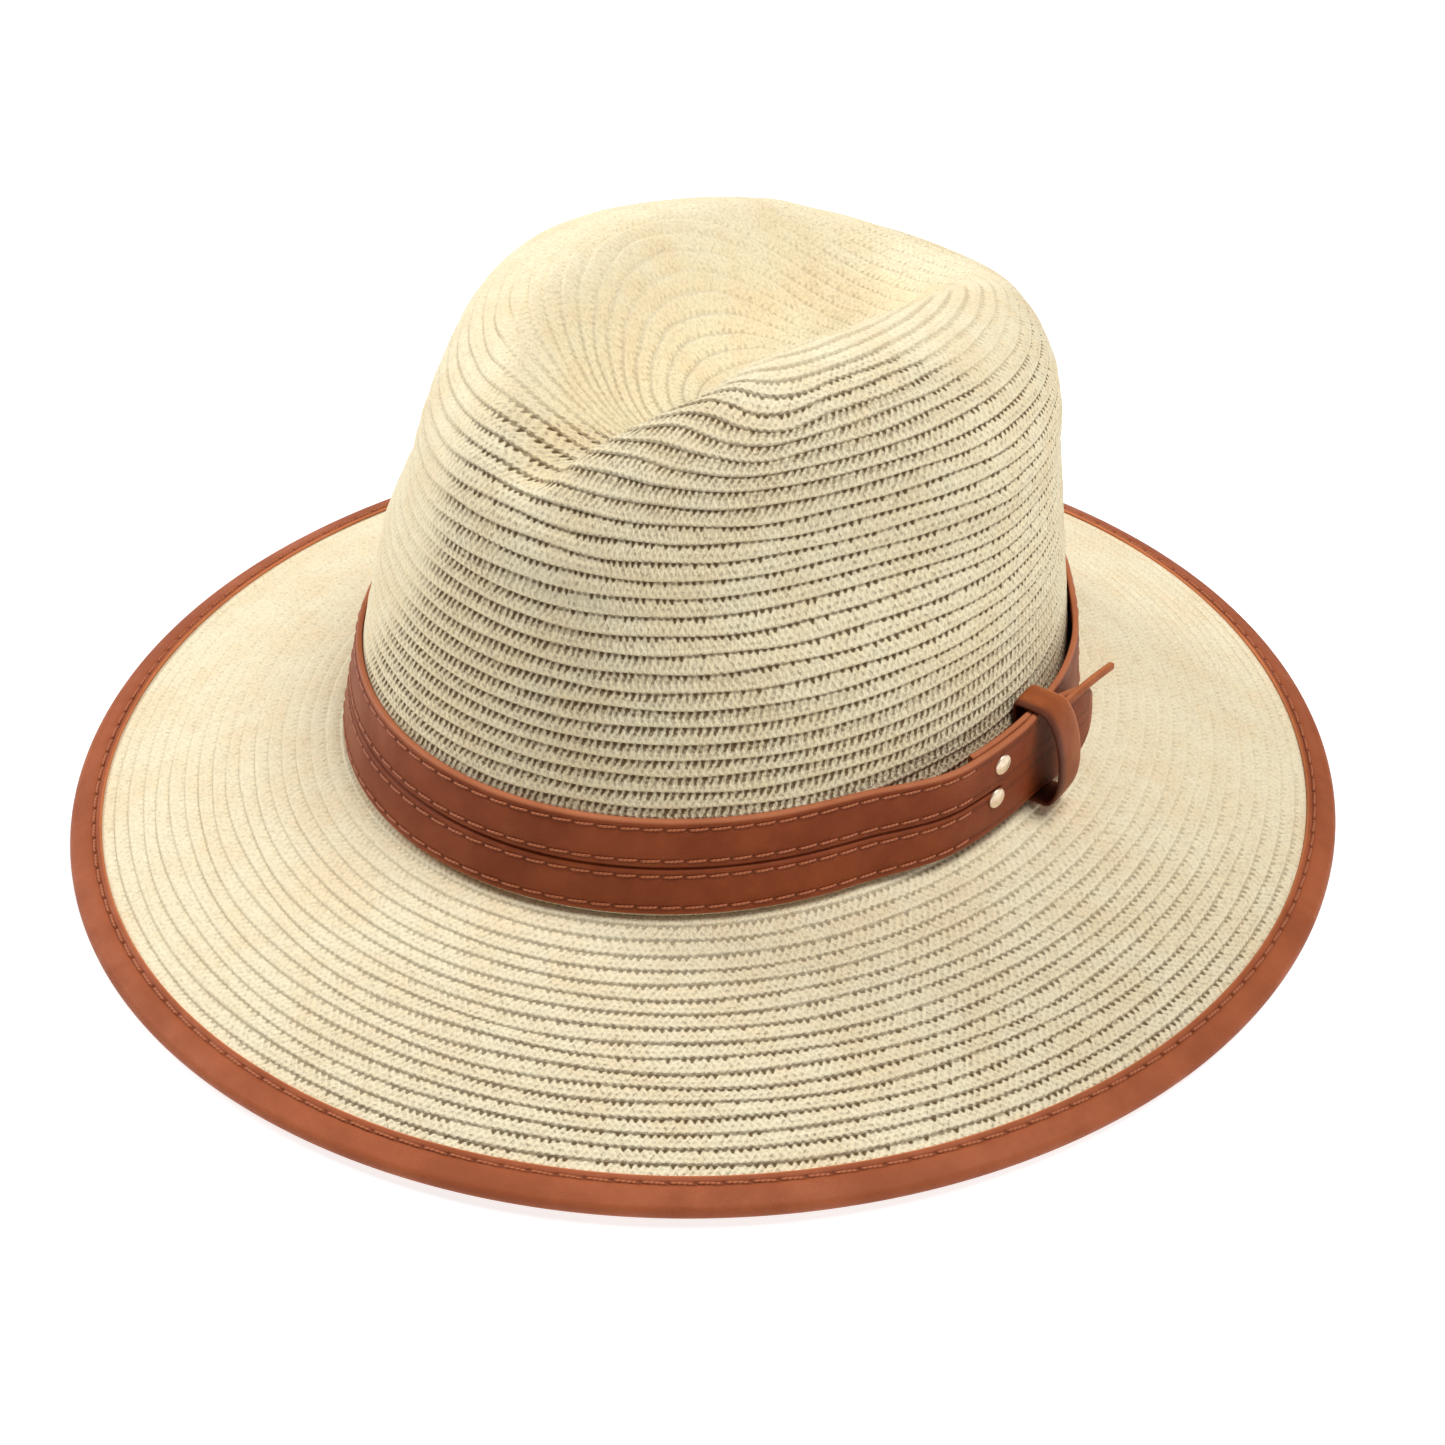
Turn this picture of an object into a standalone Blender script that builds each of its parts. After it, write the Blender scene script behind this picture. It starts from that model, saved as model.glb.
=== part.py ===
"""Braided paper panama hat: crown, brim, leather edge binding, hatband with knot, sweatband."""

import math

import bmesh
import bpy

MM = 0.001

# Plan: every ring of the hat is an oval, x = r cos(a), y = (r + LONG) sin(a).
# The front of the hat is -Y and the wearer's left is +X.
LONG = 17.5  # how much longer the oval's half length is than its half width
STEPS = 60  # sides of every ring

# Crown
HEAD_R = 84.5  # half width outside at the headline
CROWN_H = 115.3
CROWN_CORNER = 42.0
CROWN_TAPER = 10.7
CORNER_POWER = 2.25
BRAID_THICK = 1.8
CROWN_ROWS = 24
CROWN_STEPS = 64
FRONT_DENSITY = 0.3  # how much closer together the crown's lines are at its front
FRONT_LEAN = 10.0
BACK_DROP = 8.0
FRONT_DROP = 4.5
DENT_DEPTH = 29.0
DENT_HALF_WIDTH = 38.0
DENT_CLOSE = 0.8
DENT_FRONT_LESS = 0.36  # how much shallower the dent is at its front
# The ridge on the wearer's left stands nearer to the middle than the one on the right.
RIDGE_IN, RIDGE_IN_Y, RIDGE_IN_LONG = 9.0, -37.0, 45.0
NOTCH_PULL = 18.0
PINCH_DEPTH = 6.0
PINCH_Y, PINCH_Z = -44.0, 83.0
PINCH_LONG, PINCH_TALL = 58.0, 34.0
# The wearer's left is pinched further in than the right.
LEFT_PINCH, LEFT_PINCH_Y, LEFT_PINCH_Z = 3.0, -45.0, 74.0
LEFT_PINCH_LONG, LEFT_PINCH_TALL = 60.0, 38.0

# Brim, in the height above the headline
BRIM_W = 70.0
BRIM_SLOPE = 0.37
BRIM_THICK = 2.0
GAP = 0.3
# The brim is narrower at the front, at the back and on the wearer's right than on the left,
# and lifts a little at the front left. Both changes grow over its middle part.
NARROW_FRONT, NARROW_BACK, NARROW_RIGHT = 4.6, 2.0, 2.2
LIFT_EDGE, LIFT_DEGREES, LIFT_HALF_DEGREES = 2.6, 312.0, 80.0
SHAPED_FROM, SHAPED_OVER = 12.0, 50.0  # from the headline outwards

# Edge: wire and binding round it
EDGE_SPAN = 1.3  # from the edge of the braid to the centre of the wire
WIRE_R = 0.9
BIND_IN_R = 1.35
BIND_THICK = 0.8
BIND_W = 6.8  # from the centre of the wire to the inner edge of the leather
THREAD_R = 0.3
BIND_THREAD_IN = 1.9  # from the inner edge of the leather to its seam
FLAT_HALF_ANGLE = 16.0

# Hatband
BAND_H = 24.0
BAND_Z = 1.6
BAND_THICK = 1.5
BAND_OFF = 0.4
SLIT_W, SLIT_DEEP = 0.7, 0.9
BAND_THREAD_IN = 2.0
BAND_STEPS = 66
INNER_END = -8.0  # degrees: the end that lies underneath
OUTER_END = 380.0  # degrees: the tip, after one turn and a bit
SLIT_START, SLIT_END = 30.0, 350.0
KNOT_LIFT_INNER = 2.1
KNOT_LIFT_OUTER = 4.0
TIP_SPRING = 4.5  # how much further the tip stands off
TIP_R = 9.0

# Rivets
RIVET_Y = (-4.7, -6.2)
RIVET_Z = (20.1, 11.1)
RIVET_CAP_R, RIVET_CAP_H = 2.6, 0.9
RIVET_POST_R = 1.0
RIVET_BORE_R = 1.35

# Keeper round both layers of the band
KEEPER_Y0, KEEPER_Y1 = 9.7, 19.7
KEEPER_T = 0.95
KEEPER_BACK = 0.5
KEEPER_BULGE = 13.8
KEEPER_SPARE = 0.45  # room above and below the band inside the loop
TAIL_L, TAIL_W, TAIL_T = 20.0, 2.2, 1.6
TAIL_OUT, TAIL_UP = 3.6, 1.4

# Sweatband
SWEAT_H = 28.0
SWEAT_Z = -1.6
SWEAT_THICK = 1.0

EDGE_R = HEAD_R + BRIM_W


def clear_scene():
    for obj in list(bpy.data.objects):
        bpy.data.objects.remove(obj, do_unlink=True)
    for block in (bpy.data.meshes, bpy.data.curves, bpy.data.materials):
        for item in list(block):
            block.remove(item)
    for group in list(bpy.data.collections):
        bpy.data.collections.remove(group)


def collection(name):
    made = bpy.data.collections.new(name)
    bpy.context.scene.collection.children.link(made)
    return made


def material(name, colour, rough, metal=0.0):
    made = bpy.data.materials.new(name)
    made.use_nodes = True
    shader = made.node_tree.nodes["Principled BSDF"]
    shader.inputs["Base Color"].default_value = (*colour, 1.0)
    shader.inputs["Roughness"].default_value = rough
    shader.inputs["Metallic"].default_value = metal
    made.diffuse_color = (*colour, 1.0)
    return made


def smooth(x, a, b):
    t = min(max((x - a) / (b - a), 0.0), 1.0)
    return t * t * (3 - 2 * t)


def bell(x):
    x = min(abs(x), 1.0)
    return (1 - x * x) ** 2


def oval(r, angle, z):
    """A point of the oval of half width r, leaning back in the crown and shaped in the brim."""
    h = max(z, 0.0) / CROWN_H
    lean = FRONT_LEAN * h * h * max(-math.sin(angle), 0.0)
    share = min(max((r - HEAD_R - SHAPED_FROM) / SHAPED_OVER, 0.0), 1.0)
    narrow_x = NARROW_RIGHT * max(-math.cos(angle), 0.0)
    narrow_y = NARROW_FRONT * max(-math.sin(angle), 0.0) - NARROW_BACK * max(math.sin(angle), 0.0)
    from_lift = (math.degrees(angle) - LIFT_DEGREES + 180) % 360 - 180
    raised = LIFT_EDGE * bell(from_lift / LIFT_HALF_DEGREES)
    x, y = r * math.cos(angle), (r + LONG) * math.sin(angle) + lean
    return (x + share * narrow_x, y + share * narrow_y, z + share * raised)


def wall_r(z):
    """Half width of the crown's outside at height z, below its rounded corner."""
    return HEAD_R - CROWN_TAPER * z / (CROWN_H - CROWN_CORNER)


def brim_z(r):
    return -BRIM_SLOPE * (r - HEAD_R)


# The finished hat stands on the flat under its binding, so everything is lifted by this.
def edge_centre():
    r = EDGE_R + EDGE_SPAN
    return r, brim_z(r) - BRIM_THICK / 2


LIFT = BIND_IN_R + BIND_THICK
LIFT = LIFT * math.cos(math.radians(FLAT_HALF_ANGLE)) - edge_centre()[1]
# The origin is the middle of the whole hat, not of the headline.
SHIFT_X, SHIFT_Y = -NARROW_RIGHT / 2, (NARROW_BACK - NARROW_FRONT) / 2


def placed(point):
    return ((point[0] + SHIFT_X) * MM, (point[1] + SHIFT_Y) * MM, (point[2] + LIFT) * MM)


def mesh_object(name, points, faces, mat, group, origin=(0.0, 0.0, -LIFT)):
    """An object from points in millimetres above the headline, with its origin there too."""
    base = placed(origin)
    mesh = bpy.data.meshes.new(name)
    moved = [tuple(p - b for p, b in zip(placed(q), base)) for q in points]
    mesh.from_pydata(moved, [], faces)
    work = bmesh.new()
    work.from_mesh(mesh)
    bmesh.ops.recalc_face_normals(work, faces=work.faces)
    work.to_mesh(mesh)
    work.free()
    mesh.materials.append(mat)
    obj = bpy.data.objects.new(name, mesh)
    obj.location = base
    group.objects.link(obj)
    return obj


def ring_faces(rings, sides, wrap_rings, wrap_sides=True):
    """Quads between neighbouring rings of points, each ring having this many sides."""
    faces = []
    for i in range(rings if wrap_rings else rings - 1):
        for j in range(sides if wrap_sides else sides - 1):
            a, b = i * sides + j, i * sides + (j + 1) % sides
            k = (i + 1) % rings
            faces.append((a, b, k * sides + (j + 1) % sides, k * sides + j))
    return faces


def ring_sweep(name, section, mat, group):
    """A closed section of (r, z) points carried once round the oval."""
    points = []
    for i in range(STEPS):
        angle = 2 * math.pi * i / STEPS
        points += [oval(r, angle, z) for r, z in section]
    faces = ring_faces(STEPS, len(section), True)
    return mesh_object(name, points, faces, mat, group)


def ring_thread(name, r, z, radius, mat, group, resolution=0):
    curve = bpy.data.curves.new(name, "CURVE")
    curve.dimensions = "3D"
    curve.bevel_depth = radius * MM
    curve.bevel_resolution = resolution
    spline = curve.splines.new("POLY")
    spline.points.add(STEPS - 1)
    for i, point in enumerate(spline.points):
        x, y, height = placed(oval(r, 2 * math.pi * i / STEPS, z))
        point.co = (x, y, height, 1.0)
    spline.use_cyclic_u = True
    curve.materials.append(mat)
    obj = bpy.data.objects.new(name, curve)
    group.objects.link(obj)
    return obj


# ---- crown ----------------------------------------------------------------


def dome_profile(rows):
    """(r, z) from the centre of the tip down to the headline, in even steps of length."""
    top_r = HEAD_R - CROWN_TAPER
    flat_r = top_r - CROWN_CORNER
    line = [(flat_r * i / 20, CROWN_H) for i in range(20)]
    for i in range(61):
        t = math.pi / 2 * i / 60
        power = 2 / CORNER_POWER
        line.append((
            flat_r + CROWN_CORNER * math.sin(t) ** power,
            CROWN_H - CROWN_CORNER + CROWN_CORNER * max(math.cos(t), 0.0) ** power,
        ))
    for i in range(1, 41):
        z = (CROWN_H - CROWN_CORNER) * (1 - i / 40)
        line.append((wall_r(z), z))
    length = [0.0]
    for (r0, z0), (r1, z1) in zip(line, line[1:]):
        length.append(length[-1] + math.hypot(r1 - r0, z1 - z0))
    found = []
    for i in range(rows + 1):
        want = length[-1] * i / rows
        k = max(j for j in range(len(length)) if length[j] <= want + 1e-9)
        k = min(k, len(length) - 2)
        t = (want - length[k]) / (length[k + 1] - length[k])
        found.append(tuple(a + t * (b - a) for a, b in zip(line[k], line[k + 1])))
    return found


def blocked(r, angle, z):
    """A point of the plain dome pressed into the fedora shape: lean, dent, notch, pinches."""
    h = z / CROWN_H
    x, y, z = oval(r, angle, z)
    z -= h**3 * (BACK_DROP * smooth(y, -10, 75) + FRONT_DROP * smooth(-y, 10, 70))
    half = DENT_HALF_WIDTH * (1 - DENT_CLOSE * smooth(-y, 36, 86))
    half -= RIDGE_IN * bell((y - RIDGE_IN_Y) / RIDGE_IN_LONG) * smooth(x, 0, 10)
    across = 1 - smooth(abs(x) / half, 0.05, 1.0)
    along = (1 - 0.7 * smooth(y, 30, 85)) * (1 - DENT_FRONT_LESS * smooth(-y, 25, 75))
    gate = smooth(h, 0.80, 1.02)
    z -= DENT_DEPTH * across * along * gate
    y += NOTCH_PULL * across * gate * smooth(-y, 20, 70)
    pinch = bell((y - PINCH_Y) / PINCH_LONG) * bell((z - PINCH_Z) / PINCH_TALL)
    x -= math.copysign(1, x) * PINCH_DEPTH * pinch * smooth(abs(x), 12, 40)
    more = bell((y - LEFT_PINCH_Y) / LEFT_PINCH_LONG) * bell((z - LEFT_PINCH_Z) / LEFT_PINCH_TALL)
    x -= LEFT_PINCH * more * smooth(x, 5, 40)
    return (x, y, z)


def crown_angles():
    """Angles round the crown from the back, closer together at the notched front."""
    found = []
    for i in range(CROWN_STEPS):
        t = 2 * math.pi * i / CROWN_STEPS
        found.append(math.pi / 2 + t + FRONT_DENSITY * math.sin(t))
    return found


def crown(mat, group):
    rows = dome_profile(CROWN_ROWS)
    rows[-1] = (rows[-1][0], GAP)
    count = CROWN_STEPS
    points = []
    for r, z in rows:
        points += [blocked(max(r, 1.2), angle, z) for angle in crown_angles()]
    faces = ring_faces(len(rows), count, False)
    # The start of the braid is a short straight line: its two sides meet across it.
    right = range(count // 2 + 1)
    left = [-i % count for i in right]
    for a, b, c, d in zip(right, right[1:], left[1:], left):
        loop = (a, b, c, d)
        faces.append(tuple(k for i, k in enumerate(loop) if k not in loop[:i]))
    obj = mesh_object("crown", points, faces, mat, group)
    halves = obj.modifiers.new("split_quads", "TRIANGULATE")
    halves.quad_method = "SHORTEST_DIAGONAL"
    shell = obj.modifiers.new("braid_thickness", "SOLIDIFY")
    shell.thickness = BRAID_THICK * MM
    shell.offset = -1.0
    shell.use_even_offset = True
    shell.use_quality_normals = True
    return obj


# ---- brim and its edge ------------------------------------------------------


def brim(mat, group):
    inner = HEAD_R - BRAID_THICK
    shaped = HEAD_R + SHAPED_FROM
    stops = [inner, shaped, shaped + SHAPED_OVER / 2, shaped + SHAPED_OVER, EDGE_R]
    top = [(r, brim_z(max(r, HEAD_R))) for r in stops]
    under = [(r, z - BRIM_THICK) for r, z in reversed(top)]
    return ring_sweep("brim", under + top, mat, group)


def binding_section():
    """The U of leather round the edge, as (r, z): the outer skin, then the inner skin back."""
    centre_r, centre_z = edge_centre()
    slope = math.atan(BRIM_SLOPE)
    cos, sin = math.cos(slope), math.sin(slope)

    def turned(u, v):
        """u outwards along the brim from the wire's centre, v square to it."""
        return (centre_r + u * cos + v * sin, centre_z - u * sin + v * cos)

    flat = math.degrees(slope)
    outer_r = BIND_IN_R + BIND_THICK
    # Angles in the turned frame; the two either side of straight down make the flat.
    down = -90 + flat
    arc = [90, 55, 20, -12, down + FLAT_HALF_ANGLE, down - FLAT_HALF_ANGLE]
    skin = [turned(-BIND_W, outer_r)]
    skin += [
        turned(outer_r * math.cos(math.radians(a)), outer_r * math.sin(math.radians(a)))
        for a in arc
    ]
    skin.append(turned(-BIND_W, -outer_r))
    inside = [turned(-BIND_W, -BIND_IN_R)]
    inside += [
        turned(BIND_IN_R * math.cos(math.radians(a)), BIND_IN_R * math.sin(math.radians(a)))
        for a in (-90, -45, 0, 45, 90)
    ]
    inside.append(turned(-BIND_W, BIND_IN_R))
    return list(reversed(skin + inside)), turned


def edge(leather, metal, thread, group):
    section, turned = binding_section()
    ring_sweep("brim_binding", section, leather, group)
    ring_thread("brim_wire", *edge_centre(), WIRE_R, metal, group, 1)
    off = BIND_IN_R + BIND_THICK + GAP + THREAD_R
    u = -BIND_W + BIND_THREAD_IN
    ring_thread("binding_thread_top", *turned(u, off), THREAD_R, thread, group)
    ring_thread("binding_thread_under", *turned(u, -off), THREAD_R, thread, group)


# ---- hatband ----------------------------------------------------------------


def band_lift(degrees):
    """How far the band's inner face stands off the crown at this place along its length."""
    if degrees < 180:
        t = 1 - smooth(degrees, 24, 46)
        return BAND_OFF + (KNOT_LIFT_INNER - BAND_OFF) * t
    t = smooth(degrees, 334, 350)
    lift = BAND_OFF + (KNOT_LIFT_OUTER - BAND_OFF) * t
    return lift + TIP_SPRING * smooth(degrees, 362, OUTER_END)


def band_point(degrees, z, out):
    r = wall_r(z) + band_lift(degrees) + out
    return oval(r, math.radians(degrees), z)


def band_stations():
    """Places along the band, closer together round the knot and over the rounded tip."""
    stations = []
    d = INNER_END
    while d < OUTER_END - 12:
        stations.append(d)
        d += 3.0 if (d < 48 or d > 330) else 6.4
    return stations


def slit_half(degrees):
    inside = SLIT_START < degrees < SLIT_END
    return SLIT_W / 2 if inside else 0.05


def band_ring(degrees, inset):
    """Section of the band with its slit, cut in from top and bottom by inset."""
    low, high = BAND_Z + inset, BAND_Z + BAND_H - inset
    mid = BAND_Z + BAND_H / 2
    half = slit_half(degrees)
    deep = SLIT_DEEP if half > 0.1 else 0.12
    full = BAND_THICK
    return [
        band_point(degrees, low, 0.0),
        band_point(degrees, high, 0.0),
        band_point(degrees, high, full),
        band_point(degrees, mid + half, full),
        band_point(degrees, mid + half, full - deep),
        band_point(degrees, mid - half, full - deep),
        band_point(degrees, mid - half, full),
        band_point(degrees, low, full),
    ]


def hatband(leather, group, cutters):
    points = []
    stations = [(d, 0.0) for d in band_stations()]
    # The outer end is rounded: the section closes in over the last few degrees.
    last = stations[-1][0]
    reach = OUTER_END - last
    for t in (0.25, 0.5, 0.75, 0.93):
        stations.append((last + reach * t, TIP_R * (1 - math.sqrt(1 - t * t))))
    for d, inset in stations:
        points += band_ring(d, inset)
    count, sides = len(stations), 8
    faces = ring_faces(count, sides, False)
    faces.append(tuple(reversed(range(sides))))
    faces.append(tuple((count - 1) * sides + i for i in range(sides)))
    faces = [tuple(reversed(f)) for f in faces]
    obj = mesh_object("hatband", points, faces, leather, group)
    for i, (y, z) in enumerate(zip(RIVET_Y, RIVET_Z)):
        bore = rod(f"rivet_bore_{i}", y, z, -2.0, 12.0, RIVET_BORE_R, cutters)
        cut = obj.modifiers.new(f"rivet_hole_{i}", "BOOLEAN")
        cut.operation = "DIFFERENCE"
        cut.solver = "EXACT"
        cut.object = bore
    return obj


def lean_of_wall():
    return math.atan(CROWN_TAPER / (CROWN_H - CROWN_CORNER))


def turned_solid(name, profile, y, z, mat, group, sides=20):
    """A solid of revolution square to the crown's side: profile is (distance out, radius)."""
    lean = lean_of_wall()
    out = (math.cos(lean), 0.0, math.sin(lean))
    up = (-math.sin(lean), 0.0, math.cos(lean))
    angle = math.asin(y / (wall_r(z) + LONG))
    foot = oval(wall_r(z), angle, z)
    points = []
    for distance, radius in profile:
        for i in range(sides):
            t = 2 * math.pi * i / sides
            side, rise = radius * math.cos(t), radius * math.sin(t)
            points.append((
                foot[0] + out[0] * distance + up[0] * rise,
                foot[1] + side,
                foot[2] + out[2] * distance + up[2] * rise,
            ))
    rings = len(profile)
    faces = ring_faces(rings, sides, False)
    faces.append(tuple(reversed(range(sides))))
    faces.append(tuple((rings - 1) * sides + i for i in range(sides)))
    return mesh_object(name, points, faces, mat, group)


def rod(name, y, z, start, end, radius, cutters):
    obj = turned_solid(name, [(start, radius), (end, radius)], y, z, cutters["mat"],
                       cutters["group"], 16)
    obj.hide_render = True
    obj.display_type = "WIRE"
    return obj


def rivets(metal, group):
    face = KNOT_LIFT_OUTER + BAND_THICK
    foot = KNOT_LIFT_INNER + 0.2
    seat = face + GAP
    for name, y, z in zip(("rivet_upper", "rivet_lower"), RIVET_Y, RIVET_Z):
        profile = [
            (foot, RIVET_POST_R),
            (seat, RIVET_POST_R),
            (seat, RIVET_CAP_R),
            (seat + RIVET_CAP_H * 0.55, RIVET_CAP_R * 0.93),
            (seat + RIVET_CAP_H * 0.9, RIVET_CAP_R * 0.65),
            (seat + RIVET_CAP_H, RIVET_CAP_R * 0.25),
        ]
        turned_solid(name, profile, y, z, metal, group)


def band_threads(thread, group):
    """Four seams, one near each long edge of the two halves of the band."""
    mid = BAND_Z + BAND_H / 2
    heights = (
        BAND_Z + BAND_THREAD_IN,
        mid - BAND_THREAD_IN,
        mid + BAND_THREAD_IN,
        BAND_Z + BAND_H - BAND_THREAD_IN,
    )
    out = BAND_THICK + GAP + THREAD_R
    count = BAND_STEPS
    for number, z in enumerate(heights, 1):
        name = f"band_thread_{number}"
        curve = bpy.data.curves.new(name, "CURVE")
        curve.dimensions = "3D"
        curve.bevel_depth = THREAD_R * MM
        curve.bevel_resolution = 0
        curve.use_fill_caps = True
        spline = curve.splines.new("POLY")
        spline.points.add(count)
        for i, point in enumerate(spline.points):
            d = SLIT_START + 4 + (SLIT_END - SLIT_START - 6) * i / count
            x, y, height = placed(band_point(d, z, out))
            point.co = (x, y, height, 1.0)
        curve.materials.append(thread)
        group.objects.link(bpy.data.objects.new(name, curve))


# ---- keeper ------------------------------------------------------------------


def keeper_section():
    """The loop in the plane across the band: (distance from the crown, height along it)."""
    low = BAND_Z - KEEPER_SPARE - KEEPER_T
    high = BAND_Z + BAND_H + KEEPER_SPARE + KEEPER_T
    mid, half = (low + high) / 2, (high - low) / 2
    back, face = KEEPER_BACK, KNOT_LIFT_OUTER + BAND_THICK
    outer = [(back, low + 0.25), (back, high - 0.25), (back + 0.25, high), (face, high)]
    for a in (58, 34, 12, -12, -34, -58):
        t = math.radians(a)
        reach = (KEEPER_BULGE - face) * math.cos(t) ** 0.7
        outer.append((face + reach, mid + half * math.sin(t) * 1.08))
    outer += [(face, low), (back + 0.25, low)]
    return outer, mid


def shrunk(loop, mid, by):
    """The loop moved inwards by this much along its own normals."""
    moved = []
    count = len(loop)
    for i, (x, z) in enumerate(loop):
        (x0, z0), (x1, z1) = loop[i - 1], loop[(i + 1) % count]
        a = (x - x0, z - z0)
        b = (x1 - x, z1 - z)
        la, lb = math.hypot(*a), math.hypot(*b)
        n = (a[1] / la + b[1] / lb, -(a[0] / la + b[0] / lb))
        ln = math.hypot(*n)
        n = (n[0] / ln, n[1] / ln)
        cos = (a[1] / la) * n[0] - (a[0] / la) * n[1]
        moved.append((x + n[0] * by / cos, z + n[1] * by / cos))
    return moved


def keeper_place(distance, z, y):
    """A point at this distance from the crown's side, in a straight run along the tangent."""
    middle = (KEEPER_Y0 + KEEPER_Y1) / 2
    angle = math.asin(middle / (HEAD_R + LONG))
    normal = (math.cos(angle) * (HEAD_R + LONG), math.sin(angle) * HEAD_R)
    size = math.hypot(*normal)
    normal = (normal[0] / size, normal[1] / size)
    tangent = (-normal[1], normal[0])
    foot = oval(wall_r(z), angle, z)
    along = y - middle
    return (
        foot[0] + normal[0] * distance + tangent[0] * along,
        foot[1] + normal[1] * distance + tangent[1] * along,
        z,
    )


def keeper(leather, group):
    outer, mid = keeper_section()
    inner = shrunk(outer, mid, KEEPER_T)
    count = len(outer)
    points = []
    for y in (KEEPER_Y0, KEEPER_Y1):
        points += [keeper_place(d, z, y) for d, z in outer]
        points += [keeper_place(d, z, y) for d, z in inner]
    faces = []
    for i in range(count):
        j = (i + 1) % count
        front_out, front_in = (i, j), (count + i, count + j)
        back_out = (2 * count + i, 2 * count + j)
        back_in = (3 * count + i, 3 * count + j)
        faces.append((front_out[0], front_out[1], back_out[1], back_out[0]))
        faces.append((front_in[1], front_in[0], back_in[0], back_in[1]))
        faces.append((front_out[1], front_out[0], front_in[0], front_in[1]))
        faces.append((back_out[0], back_out[1], back_in[1], back_in[0]))
    origin = keeper_place(0.0, mid, (KEEPER_Y0 + KEEPER_Y1) / 2)
    mesh_object("keeper_loop", points, faces, leather, group, origin)

    # The narrow end of the lace stands out behind the loop, backwards and up.
    root_d = KEEPER_BULGE - 5.0
    root_z = BAND_Z + BAND_H - 1.2
    points = []
    for along, d, z, half_w in (
        (0.0, root_d, root_z, TAIL_W / 2),
        (TAIL_L * 0.5, root_d + TAIL_OUT * 0.5, root_z + TAIL_UP * 0.5 + 0.5, TAIL_W / 2),
        (TAIL_L, root_d + TAIL_OUT, root_z + TAIL_UP, TAIL_W / 2 - 0.15),
    ):
        y = KEEPER_Y1 + GAP + along
        for dd, dz in ((0, -half_w), (TAIL_T, -half_w), (TAIL_T, half_w), (0, half_w)):
            points.append(keeper_place(d + dd, z + dz, y))
    faces = ring_faces(3, 4, False) + [(3, 2, 1, 0), (8, 9, 10, 11)]
    mesh_object("keeper_tail", points, faces, leather, group, origin)


# ---- sweatband -----------------------------------------------------------------


def sweatband(cloth, thread, group):
    top = SWEAT_Z + SWEAT_H
    gap = BRAID_THICK + 0.5
    section = [
        (wall_r(SWEAT_Z) - gap - SWEAT_THICK, SWEAT_Z),
        (wall_r(SWEAT_Z) - gap, SWEAT_Z),
        (wall_r(top) - gap, top),
        (wall_r(top) - gap - SWEAT_THICK, top),
    ]
    ring_sweep("sweatband", section, cloth, group)
    z = SWEAT_Z + 3.0
    ring_thread("sweatband_thread", wall_r(z) - gap - SWEAT_THICK - GAP - THREAD_R, z,
                THREAD_R, thread, group)


def main():
    clear_scene()
    group = collection("panama_hat")
    cutter_group = collection("cutters")
    straw = material("paper_braid", (0.80, 0.70, 0.47), 0.85)
    straw_brim = material("paper_braid_brim", (0.79, 0.69, 0.46), 0.85)
    tan = material("tan_leather", (0.42, 0.14, 0.05), 0.5)
    band_tan = material("hatband_leather", (0.34, 0.10, 0.035), 0.5)
    thread = material("tan_thread", (0.55, 0.22, 0.09), 0.7)
    steel = material("brim_wire_steel", (0.6, 0.6, 0.6), 0.35, 1.0)
    brass = material("pale_brass", (0.85, 0.75, 0.55), 0.3, 1.0)
    cloth = material("sweatband_cloth", (0.75, 0.66, 0.50), 0.9)
    cutters = {"group": cutter_group, "mat": steel}

    crown(straw, group)
    brim(straw_brim, group)
    edge(tan, steel, thread, group)
    hatband(band_tan, group, cutters)
    band_threads(thread, group)
    rivets(brass, group)
    keeper(band_tan, group)
    sweatband(cloth, thread, group)


main()
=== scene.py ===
"""Looks of the braided paper panama hat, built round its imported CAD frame."""

import math

import bpy
import numpy as np
from mathutils import Matrix, Vector

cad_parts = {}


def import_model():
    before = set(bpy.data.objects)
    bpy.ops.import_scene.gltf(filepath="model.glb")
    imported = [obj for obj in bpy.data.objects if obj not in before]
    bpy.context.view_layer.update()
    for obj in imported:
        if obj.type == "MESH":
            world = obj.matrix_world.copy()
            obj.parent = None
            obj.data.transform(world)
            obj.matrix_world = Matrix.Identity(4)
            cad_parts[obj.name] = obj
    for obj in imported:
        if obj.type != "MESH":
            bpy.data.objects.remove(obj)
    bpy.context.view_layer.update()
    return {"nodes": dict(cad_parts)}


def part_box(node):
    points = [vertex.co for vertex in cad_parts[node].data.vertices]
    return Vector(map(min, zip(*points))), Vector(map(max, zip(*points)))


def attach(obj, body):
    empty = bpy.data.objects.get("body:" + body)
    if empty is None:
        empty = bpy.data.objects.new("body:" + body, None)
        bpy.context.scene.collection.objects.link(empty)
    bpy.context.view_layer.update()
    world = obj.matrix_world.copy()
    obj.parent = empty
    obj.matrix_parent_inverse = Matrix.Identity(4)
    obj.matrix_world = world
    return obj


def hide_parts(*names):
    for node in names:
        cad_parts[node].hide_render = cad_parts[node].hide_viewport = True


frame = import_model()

MM = 0.001

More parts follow.
